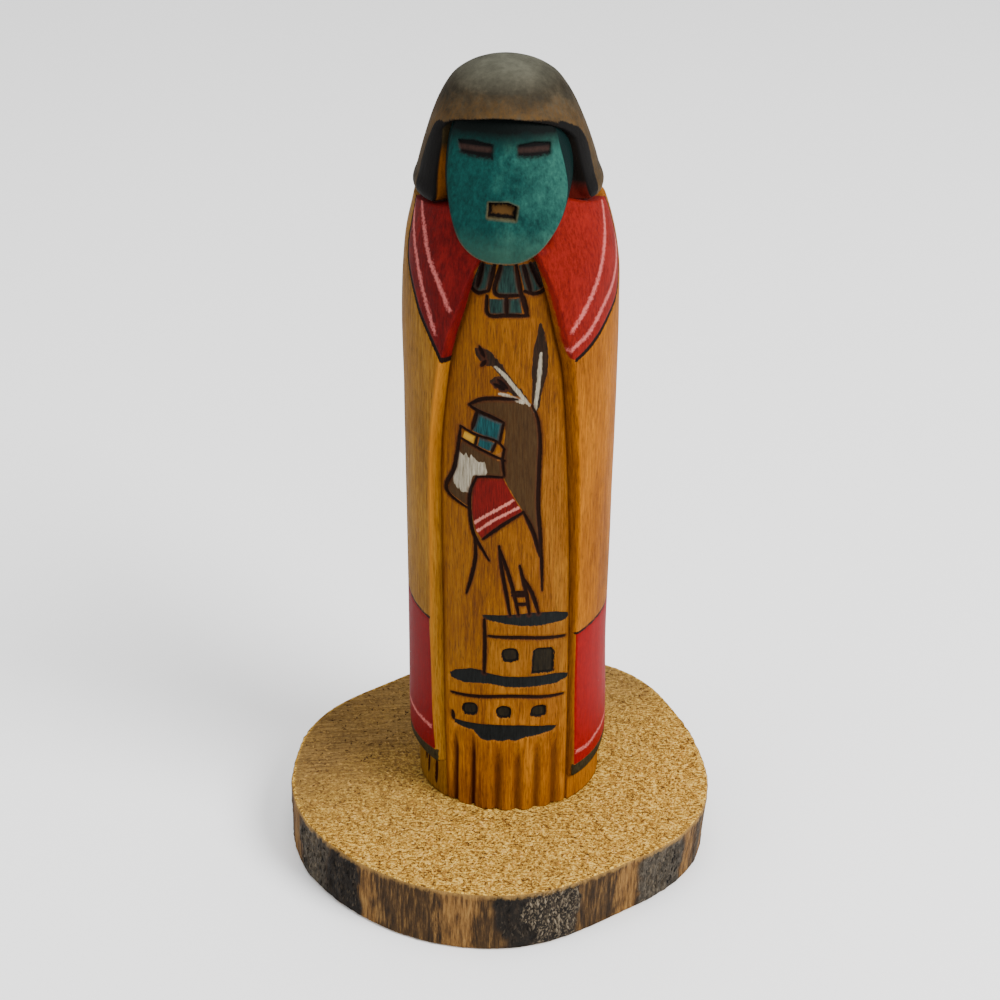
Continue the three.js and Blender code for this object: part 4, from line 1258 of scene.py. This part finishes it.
# Painted shade: a greyer, duller copy of the wood for the doll's right side, away from the light.
pale, _, _ = stained_wood(bench, (129, 92, 28), (108, 73, 18), (82, 53, 11))
pale_side = grows(across, -3, -12, (streaks - 0.5) * 0.6)
colour = layer(pale_side, wood, pale)
ragged = noise(bench, (0.35, 0.35, 0.7), 3.0)
brushed = noise(bench, (0.5, 0.5, 1.6), 4.0, 0.7)
strong = stronger(brushed, 2.2)
# Painted highlight, with some wear, along the crest of the roll.
colour = layer(measured(bench, "rubbed_crest") * 0.6, colour, tint(158, 96, 12))
# Stain and painted shade: the cape is laid darker beside the grooves.
pooled_stain_and_shade = measured(bench, "stain_pool")
colour = layer((pooled_stain_and_shade * 1.05 - 0.04).clear(), colour, tint(46, 15, 4))
# Painted light and shade: the red is laid as a shaded copy on the doll's right side, a lit copy on its left.
lit_side_mask = grows(across, -3, 12)
shaded_red = layer(strong, tint(50, 1, 2), tint(88, 7, 7))
lit_red = layer(strong, tint(74, 4, 3), tint(118, 22, 13))
faded = beyond(noise(bench, (4, 4, 6), 4.0, 0.65), 0.5, 3) * 0.5
shawl_red = layer(faded, layer(lit_side_mask, shaded_red, lit_red), tint(136, 26, 20))
colour = layer(inside_of(bench, "red_edge", ragged, 0.3), colour, shawl_red)
shaded_band = layer(strong, tint(78, 1, 3), tint(106, 5, 7))
lit_band = layer(strong, tint(94, 1, 3), tint(128, 7, 7))
band_colour = layer(lit_side_mask, shaded_band, lit_band)
colour = layer(inside_of(bench, "band_edge", ragged, 0.15), colour, band_colour)
dry_brush = noise(bench, (0.5, 0.5, 0.5), 4.0, 0.7)
pink_mask = inside_of(bench, "pink_edge", dry_brush, 2.2, 0.6) * inside_of(bench, "red_edge") * 0.8
colour = layer(pink_mask, colour, tint(172, 92, 88))
band_pink = inside_of(bench, "band_stripe", dry_brush, 2.0, 0.5) * 0.8
colour = layer(band_pink, colour, tint(176, 98, 92))
olive = layer(strong, tint(20, 17, 10), tint(52, 44, 24))
colour = layer(inside_of(bench, "hem_edge", ragged, 0.5), colour, olive)
painted = inside_of(bench, "band_edge")
chips = beyond(noise(bench, (0.7, 0.7, 1.4), 2.0), 0.74, 14)
colour = layer(chips * painted * 0.6, colour, tint(160, 120, 104))
colour = layer(inside_of(bench, "black_line", ragged, 0.35), colour, tint(16, 6, 4))
colour = layer(inside_of(bench, "burnt_line", ragged, 0.3), colour, tint(36, 10, 5))
finish(bench, colour, 0.56 + brushed * 0.14 - painted * 0.08, relief * (1 - painted * 0.6), 0.1, 0.05)
cape.data.materials.append(cape_finish)

# %% [markdown]
# Finish of the hood
#
# The hair is a thin grey-brown wash rubbed over the wood. It is paler on the crown and worn to warm brown
# wood above the brow, where fingers hold the doll. The locks and the cut edge of the brow are matt black.
# Inside the hollow the left wall is bare stained wood and the right one nearly black; under the brow the left
# wall is painted darker as shade, and the top of the hollow is a painted shadow.

# %% Material of the hood
hood_finish, bench = new_finish("rubbed_hair")
across = axis(bench, "X")
upward = axis(bench, "Z")
clouds = noise(bench, (4.5, 4.5, 3.5), 5.0, 0.65)
rubbed = noise(bench, (0.7, 0.7, 2.0), 4.0, 0.7)
hair_colour = ramp(clouds, (0.3, 30, 26, 19), (0.5, 44, 39, 29), (0.7, 60, 54, 42))
hair_colour = layer(beyond(rubbed, 0.42, 3.4) * 0.5, hair_colour, tint(30, 25, 16))
crown_mask = (grows(upward, 164.2, 5) * clouds * 1.5).clear() * 0.62
hair_colour = layer(crown_mask, hair_colour, tint(92, 94, 82))
edge = measured(bench, "hollow_edge")
worn = (1.15 - edge / 4.0 + (clouds - 0.5) * 1.6).clear() * beyond(rubbed, 0.2, 2.2) * 0.8
hair_colour = layer(worn, hair_colour, tint(80, 56, 26))
ragged = noise(bench, (0.4, 0.4, 0.9), 3.0)
right_side = grows(across, 4, 5)
burnt_edge = (0.5 - (edge - 0.35 - right_side * 0.5 + (ragged - 0.5) * 0.6) / 0.35).clear()
hair_colour = layer(burnt_edge, hair_colour, tint(9, 7, 5))
# Painted shade: the left wall is bare stained wood, laid darker towards the top, under the brow.
left_wall = layer(grows(upward, 151.5, 3), tint(122, 70, 12), tint(42, 34, 16))
right_wall = layer(grows(upward, 147.5, -2), tint(12, 9, 7), tint(70, 12, 6))
wall_colour = layer(right_side, left_wall, right_wall)
# Painted shadow: the top of the hollow, under the brow, is laid nearly black.
wall_colour = layer(grows(upward, 156.5, 2), wall_colour, tint(7, 7, 6))
wall_colour = layer(beyond(rubbed, 0.4, 2) * 0.6, wall_colour, tint(22, 12, 6))
deep = beyond(measured(bench, "hollow_wall"), 0.12, 8)
hair_colour = layer(deep, hair_colour, wall_colour)
lock_mask = inside_of(bench, "lock_edge", ragged, 0.6, 0.25) * (1 - deep)
lock_colour = layer(rubbed, tint(5, 5, 5), tint(17, 15, 14))
hair_colour = layer(lock_mask, hair_colour, lock_colour)
finish(bench, hair_colour, 0.66 + rubbed * 0.15, clouds * 0.35 + rubbed * 0.65, 0.14, 0.06)
hood.data.materials.append(hood_finish)

# %% [markdown]
# Finish of the face
#
# The turquoise is a flat paint that has gone cloudy. It is painted deeper on the doll's right cheek and
# lighter on its left one, as painted shade and painted light, and along the lower edge it turns to a brownish
# rim, partly bare wood rubbed through and partly a painted highlight on the rounded edge. The shadow of the
# brow on the forehead and the shade on the slab's side walls are painted dark. The cuts of the eyes are black
# with a smoky middle; in the mouth the bare wood shows under a black upper edge.

# %% Material of the face
EYE_MIDDLE = 155.1
EYE_SMOKE = 0.6
face_finish, bench = new_finish("turquoise_face")
across = axis(bench, "X")
upward = axis(bench, "Z")
clouds = noise(bench, (4, 4, 5), 5.0, 0.65)
fine = noise(bench, (0.6, 0.6, 1.1), 4.0, 0.7)
strong = ((fine - 0.5) * 1.9 + (clouds - 0.5) * 1.4 + 0.5).clear()
# Painted light and shade: the doll's left cheek is laid as a lit copy of the paint, the right as a shaded
# one.
lit_cheek = grows(across, 4.5, 12, (clouds - 0.5) * 2.6 + 0.4)
shaded_cheek_paint = layer(strong, tint(1, 30, 28), tint(6, 56, 52))
lit_cheek_paint = layer(strong, tint(10, 50, 46), tint(38, 82, 71))
colour = layer(lit_cheek, shaded_cheek_paint, lit_cheek_paint)
low = grows(upward, 142.5, -6, clouds - 0.5) * 0.6
colour = layer(low, colour, tint(36, 58, 46))
# Partly bare wood rubbed through and partly a painted highlight: the rounded lower edge is laid brownish.
rim = (0.9 - measured(bench, "edge_away") / 0.6 + (fine - 0.5) * 1.6).clear()
colour = layer((rim * low * 1.4).clear(), colour, tint(84, 66, 44))
# Painted shadow: the forehead under the brow is laid nearly black.
brow_shadow = grows(upward, 154.6, 3.4, (clouds - 0.5) * 0.7)
colour = layer(brow_shadow, colour, tint(2, 6, 5))
# Painted shade: the slab's side walls and the very edge of its front are laid dark teal.
sides = (0.3 - measured(bench, "edge_away") / 0.5).clear()
colour = layer(sides, colour, tint(3, 20, 19))
eye_away = measured(bench, "eye_edge")
colour = layer((0.5 - (eye_away - 0.3) / 0.6).clear() * 0.6, colour, tint(10, 22, 19))
from_middle = (upward - EYE_MIDDLE * MM) / (EYE_SMOKE * MM)
smoky = (1 - (from_middle * from_middle).clear()) * fine * 1.6
eye_colour = layer(smoky.clear(), tint(4, 3, 3), tint(40, 26, 22))
colour = layer(inside_of(bench, "eye_edge", fine, 0.9, 0.4), colour, eye_colour)
mouth_away = measured(bench, "mouth_edge")
colour = layer((0.5 - (mouth_away - 0.3) / 0.5 + (fine - 0.5)).clear() * 0.6, colour, tint(78, 60, 30))
mouth_core = (0.5 - (mouth_away + 0.6) / 0.4 + (fine - 0.5) * 3.0).clear()
mouth_colour = layer(mouth_core, tint(6, 3, 2), tint(70, 47, 19))
colour = layer(inside_of(bench, "mouth_edge", fine, 0.3, 0.2), colour, mouth_colour)
finish(bench, colour, 0.6 + fine * 0.15, fine * 0.7 + clouds * 0.3, 0.1, 0.06)
face.data.materials.append(face_finish)

# %% [markdown]
# Finish of the branch
#
# Two finishes share the slice: dry end grain on the sawn faces, in crumbs of pale and dark tan that turn
# duller towards the back, and the rim, where streaky brown wood, black bark, grey bark and bare tan wood
# change places.

# %% Materials of the sawn faces and the rim
sawn_finish, bench = new_finish("sawn_end_grain")
crumb = noise(bench, (0.85, 0.62, 0.8), 3.0, 0.75)
speck = noise(bench, (0.32, 0.32, 0.32), 2.0, 0.7)
strokes = noise(bench, (7, 0.7, 3), 4.0, 0.7, SAW_LEAN)
clouds = noise(bench, (14, 14, 14), 3.0)
patchy = noise(bench, (2.6, 2.6, 2.6), 2.0)
grain = ((crumb * 0.65 + speck * 0.35 - 0.5) * 4.0 + (patchy - 0.5) * 0.7 + 0.5).clear()
bright = ramp(grain, (0.08, 62, 36, 8), (0.34, 130, 89, 27), (0.6, 178, 134, 48), (0.9, 220, 182, 88))
dull_grain = stronger(strokes * 0.6 + crumb * 0.4, 2.4)
dull_wood = ramp(dull_grain, (0.1, 62, 42, 18), (0.45, 104, 78, 38), (0.9, 146, 114, 62))
dull_mask = (measured(bench, "dull") + (clouds - 0.5) * 0.7).clear()
colour = layer(dull_mask, bright, dull_wood)
finish(bench, colour, 0.9, crumb * 0.6 + speck * 0.4, 0.8, 0.15)
branch.data.materials.append(sawn_finish)

PALE_LIP = 11.7
rim_finish, bench = new_finish("bark_and_bare_rim")
upright = noise(bench, (0.6, 0.6, 6), 4.0, 0.7)
lumps = noise(bench, (1.3, 1.3, 1.6), 5.0, 0.75)
fine = noise(bench, (0.4, 0.4, 0.5), 3.0, 0.7)
streaky = stronger(upright, 2.2)
mixed = stronger(upright * 0.4 + lumps * 0.6, 2.4)
brown = ramp(streaky, (0.1, 24, 15, 7), (0.5, 54, 37, 18), (0.9, 92, 67, 36))
bare = ramp(streaky, (0.1, 66, 43, 20), (0.5, 102, 71, 34), (0.9, 132, 98, 52))
black_bark = ramp(mixed, (0.1, 5, 4, 3), (0.55, 24, 19, 14), (0.9, 52, 42, 32))
grey = ramp(mixed, (0.1, 14, 13, 11), (0.5, 50, 44, 36), (0.9, 90, 82, 70))
wobble = (streaky - 0.5) * 1.3
colour = layer((measured(bench, "bare_wood") * 1.2 - 0.2 + wobble * 0.9).clear(), brown, bare)
colour = layer((measured(bench, "grey_bark") * 2.0 - 0.6 + wobble).clear(), colour, grey)
colour = layer((measured(bench, "dark_bark") * 2.0 - 0.6 + wobble).clear(), colour, black_bark)
flake_mask = (measured(bench, "flakes") * (fine - 0.52) * 9).clear() * 0.8
colour = layer(flake_mask, colour, tint(104, 92, 74))
pale_lip = (measured(bench, "rim_height") - PALE_LIP + (lumps - 0.5) * 3.4).clear() * 0.75
colour = layer(pale_lip, colour, layer(fine, tint(92, 66, 32), tint(160, 124, 66)))
finish(bench, colour, 0.85, upright * 0.4 + lumps * 0.6, 0.5, 0.15)
branch.data.materials.append(rim_finish)

# %% [markdown]
# Torn fibres and bark scales
#
# A saw leaves thousands of torn fibre ends on end grain, and old bark lifts in small scales. Both repeat
# over a surface, which is the work of Geometry Nodes: points are spread where a named measurement of the
# slice allows it, each gets a small wedge that lies along the grain and strays from it by a random angle,
# and the result is made real and turned into a plain mesh.

# %% A wedge and the tree that scatters it
TREE_INPUTS = [("Shape", "NodeSocketObject"), ("Where", "NodeSocketString"), ("Grain", "NodeSocketVector"),
               ("Stray", "NodeSocketFloat"), ("Density", "NodeSocketFloat"), ("Smallest", "NodeSocketFloat"),
               ("Largest", "NodeSocketFloat"), ("Seed", "NodeSocketInt"), ("Finish", "NodeSocketMaterial")]


def wedge(name, length, width, height):
    """A sliver with a raised ridge, eight faces, lying along its own X."""
    corners = [(-0.5, 0, 0), (0, 0.5, -0.15), (0.5, 0, 0), (0, -0.5, -0.15), (-0.12, 0, 1), (0, 0, -0.6)]
    points = np.array(corners) * np.array([length, width, height])
    faces = [(0, 3, 4), (3, 2, 4), (2, 1, 4), (1, 0, 4), (3, 0, 5), (2, 3, 5), (1, 2, 5), (0, 1, 5)]
    mesh = bpy.data.meshes.new(name)
    mesh.from_pydata((points * MM).tolist(), [], faces)
    piece = bpy.data.objects.new(name, mesh)
    bpy.context.scene.collection.objects.link(piece)
    return piece


def scatter_tree():
    """Spreads a small shape over the part of a mesh that a named measurement marks."""
    tree = bpy.data.node_groups.new("scatter_along_grain", "GeometryNodeTree")
    tree.interface.new_socket("Geometry", in_out="INPUT", socket_type="NodeSocketGeometry")
    for name, kind in TREE_INPUTS:
        tree.interface.new_socket(name, in_out="INPUT", socket_type=kind)
    tree.interface.new_socket("Geometry", in_out="OUTPUT", socket_type="NodeSocketGeometry")
    bench = Bench(tree, tree.name)
    given = {s.name: Wire(bench, s) for s in tree.nodes.new("NodeGroupInput").outputs if s.name}
    allowed = bench.node("GeometryNodeInputNamedAttribute", {"data_type": "FLOAT"}, {"Name": given["Where"]})
    chosen = bench.node("ShaderNodeMath", {"operation": "GREATER_THAN"}, {0: allowed, 1: 0.5})
    points = bench.node("GeometryNodeDistributePointsOnFaces", {}, {
        "Mesh": given["Geometry"], "Selection": chosen, "Density": given["Density"], "Seed": given["Seed"]})
    standing = Wire(bench, points.socket.node.outputs["Rotation"])
    shade = bench.node("FunctionNodeRandomValue", {"data_type": "FLOAT"},
                       {2: 0.0, 3: 1.0, "Seed": given["Seed"]}, 1)
    shaded = bench.node("GeometryNodeStoreNamedAttribute", {"data_type": "FLOAT", "domain": "POINT"},
                        {"Geometry": points, "Name": "shade", "Value": shade})
    laid = bench.node("FunctionNodeAlignRotationToVector", {"axis": "X", "pivot_axis": "Z"},
                      {"Rotation": standing, "Vector": given["Grain"]})
    angle = bench.node("FunctionNodeRandomValue", {"data_type": "FLOAT"},
                       {2: given["Stray"] * -1.0, 3: given["Stray"], "Seed": given["Seed"] + 1}, 1)
    turn = bench.node("FunctionNodeAxisAngleToRotation", {}, {"Axis": (0, 0, 1), "Angle": angle})
    strayed = bench.node("FunctionNodeRotateRotation", {"rotation_space": "LOCAL"},
                         {"Rotation": laid, "Rotate By": turn})
    size = bench.node("FunctionNodeRandomValue", {"data_type": "FLOAT"},
                      {2: given["Smallest"], 3: given["Largest"], "Seed": given["Seed"] + 2}, 1)
    small_shape = bench.node("GeometryNodeObjectInfo", {}, {"Object": given["Shape"]}, "Geometry")
    scattered = bench.node("GeometryNodeInstanceOnPoints", {}, {
        "Points": shaded, "Instance": small_shape, "Rotation": strayed, "Scale": size})
    real = bench.node("GeometryNodeRealizeInstances", {}, {"Geometry": scattered})
    finished = bench.node("GeometryNodeSetMaterial", {}, {"Geometry": real, "Material": given["Finish"]})
    bench.node("NodeGroupOutput", {}, {"Geometry": finished})
    return tree


# %% Scatter, then keep the result as a plain mesh
def scattered_piece(name, tree, **inputs):
    """Runs the scatter tree over the slice and returns its result as a plain mesh."""
    carrier = bpy.data.objects.new(name + "_carrier", branch.data.copy())
    bpy.context.scene.collection.objects.link(carrier)
    modifier = carrier.modifiers.new("scatter", "NODES")
    modifier.node_group = tree
    sockets = {item.name: item.identifier for item in tree.interface.items_tree if item.in_out == "INPUT"}
    for key, value in inputs.items():
        modifier[sockets[key]] = value
    evaluated = carrier.evaluated_get(bpy.context.evaluated_depsgraph_get())
    mesh = bpy.data.meshes.new_from_object(evaluated)
    mesh.name = name
    piece = bpy.data.objects.new(name, mesh)
    bpy.context.scene.collection.objects.link(piece)
    bpy.data.objects.remove(carrier)
    bpy.data.objects.remove(inputs["Shape"])
    print(name, len(mesh.polygons), "faces")
    return piece


fibre_finish, bench = new_finish("torn_fibre_ends")
shade = measured(bench, "shade")
bright = ramp(shade, (0.1, 96, 60, 18), (0.5, 158, 114, 46), (0.95, 200, 162, 84))
dull_wood = ramp(shade, (0.1, 64, 44, 19), (0.5, 106, 80, 40), (0.9, 144, 112, 60))
colour = layer(measured(bench, "dull"), bright, dull_wood)
finish(bench, colour, 0.85, noise(bench, (0.5, 0.5, 0.5)), 0.05, 0.15)
scale_finish, bench = new_finish("lifted_bark_scales")
scale_tone = (measured(bench, "shade") * 0.6 + noise(bench, (1.1, 1.1, 2.2), 4.0, 0.7) * 0.4).clear()
dark_scales = ramp(scale_tone, (0.2, 8, 7, 6), (0.5, 30, 25, 20), (0.85, 62, 54, 44))
pale_scales = ramp(scale_tone, (0.2, 40, 34, 26), (0.5, 84, 74, 60), (0.85, 118, 106, 88))
colour = layer((measured(bench, "flakes") * 1.6 - 0.3).clear(), dark_scales, pale_scales)
finish(bench, colour, 0.9, noise(bench, (0.5, 0.5, 0.5)), 0.08, 0.15)

scatter = scatter_tree()
torn_fibres = scattered_piece(
    "torn_fibres", scatter, Shape=wedge("fibre", 0.95, 0.45, 0.24), Where="fibres_here",
    Grain=(1.0, 0.0, 0.0), Stray=math.pi, Density=0.9e6, Smallest=0.45, Largest=1.2, Seed=3,
    Finish=fibre_finish)
bark_scales = scattered_piece(
    "bark_scales", scatter, Shape=wedge("scale", 1.5, 0.55, 0.22), Where="scales_here", Grain=(0.0, 0.0, 1.0),
    Stray=0.5, Density=1.0e6, Smallest=0.4, Largest=1.2, Seed=8, Finish=scale_finish)

# %% [markdown]
# Floor and light
#
# The photograph was taken on white under a broad soft light from the upper right, with some light coming
# back from the left. A pale floor and three large area lights give the same soft shadows.

# %% Floor
FLOOR_HALF = 3.0
FLOOR_LEVEL = -0.0002
corners = [(-1, -1), (1, -1), (1, 1), (-1, 1)]
floor_mesh = bpy.data.meshes.new("floor")
floor_points = [(a * FLOOR_HALF, b * FLOOR_HALF, FLOOR_LEVEL) for a, b in corners]
floor_mesh.from_pydata(floor_points, [], [(0, 1, 2, 3)])
floor = bpy.data.objects.new("floor", floor_mesh)
bpy.context.scene.collection.objects.link(floor)
floor_finish, bench = new_finish("pale_floor")
finish(bench, tint(250, 250, 250), 0.7, noise(bench, (30, 30, 30)), 0.0)
floor_mesh.materials.append(floor_finish)
floor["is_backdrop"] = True


# %% Lights
def soft_light(name, place, aim, width, watts):
    """A round area light of a width in metres, turned to what it lights."""
    lamp = bpy.data.lights.new(name, "AREA")
    lamp.shape = "DISK"
    lamp.size = width
    lamp.energy = watts
    light = bpy.data.objects.new(name, lamp)
    light.location = place
    direction = np.array(aim) - np.array(place)
    pitch = math.atan2(math.hypot(direction[0], direction[1]), -direction[2])
    light.rotation_euler = (pitch, 0, math.atan2(direction[0], -direction[1]) + math.pi)
    bpy.context.scene.collection.objects.link(light)
    print(name, watts, "W")


MIDDLE = (0, 0, 0.09)
soft_light("key_light", (0.7, -0.5, 0.85), MIDDLE, 0.6, 24)
soft_light("fill_light", (-0.8, -0.5, 0.5), MIDDLE, 0.8, 4)
soft_light("top_light", (0.05, 0.25, 1.2), MIDDLE, 1.0, 10)
world = bpy.data.worlds.new("studio")
world.use_nodes = True
world.node_tree.nodes["Background"].inputs["Color"].default_value = (1, 1, 1, 1)
world.node_tree.nodes["Background"].inputs["Strength"].default_value = 0.75
bpy.context.scene.world = world

# %% [markdown]
# Attaching the pieces
#
# Each piece is hung under the model's one body, so that it moves with it, and the CAD part that it replaces
# is hidden. The size of the finished looks is printed.

for piece in (dress, cape, hood, face):
    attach(piece, "root")
    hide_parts("carved_doll")
for piece in (branch, torn_fibres, bark_scales):
    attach(piece, "root")
    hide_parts("branch_slice")
low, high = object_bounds()
print("looks box", [round(v / MM, 1) for v in (*low, *high)])
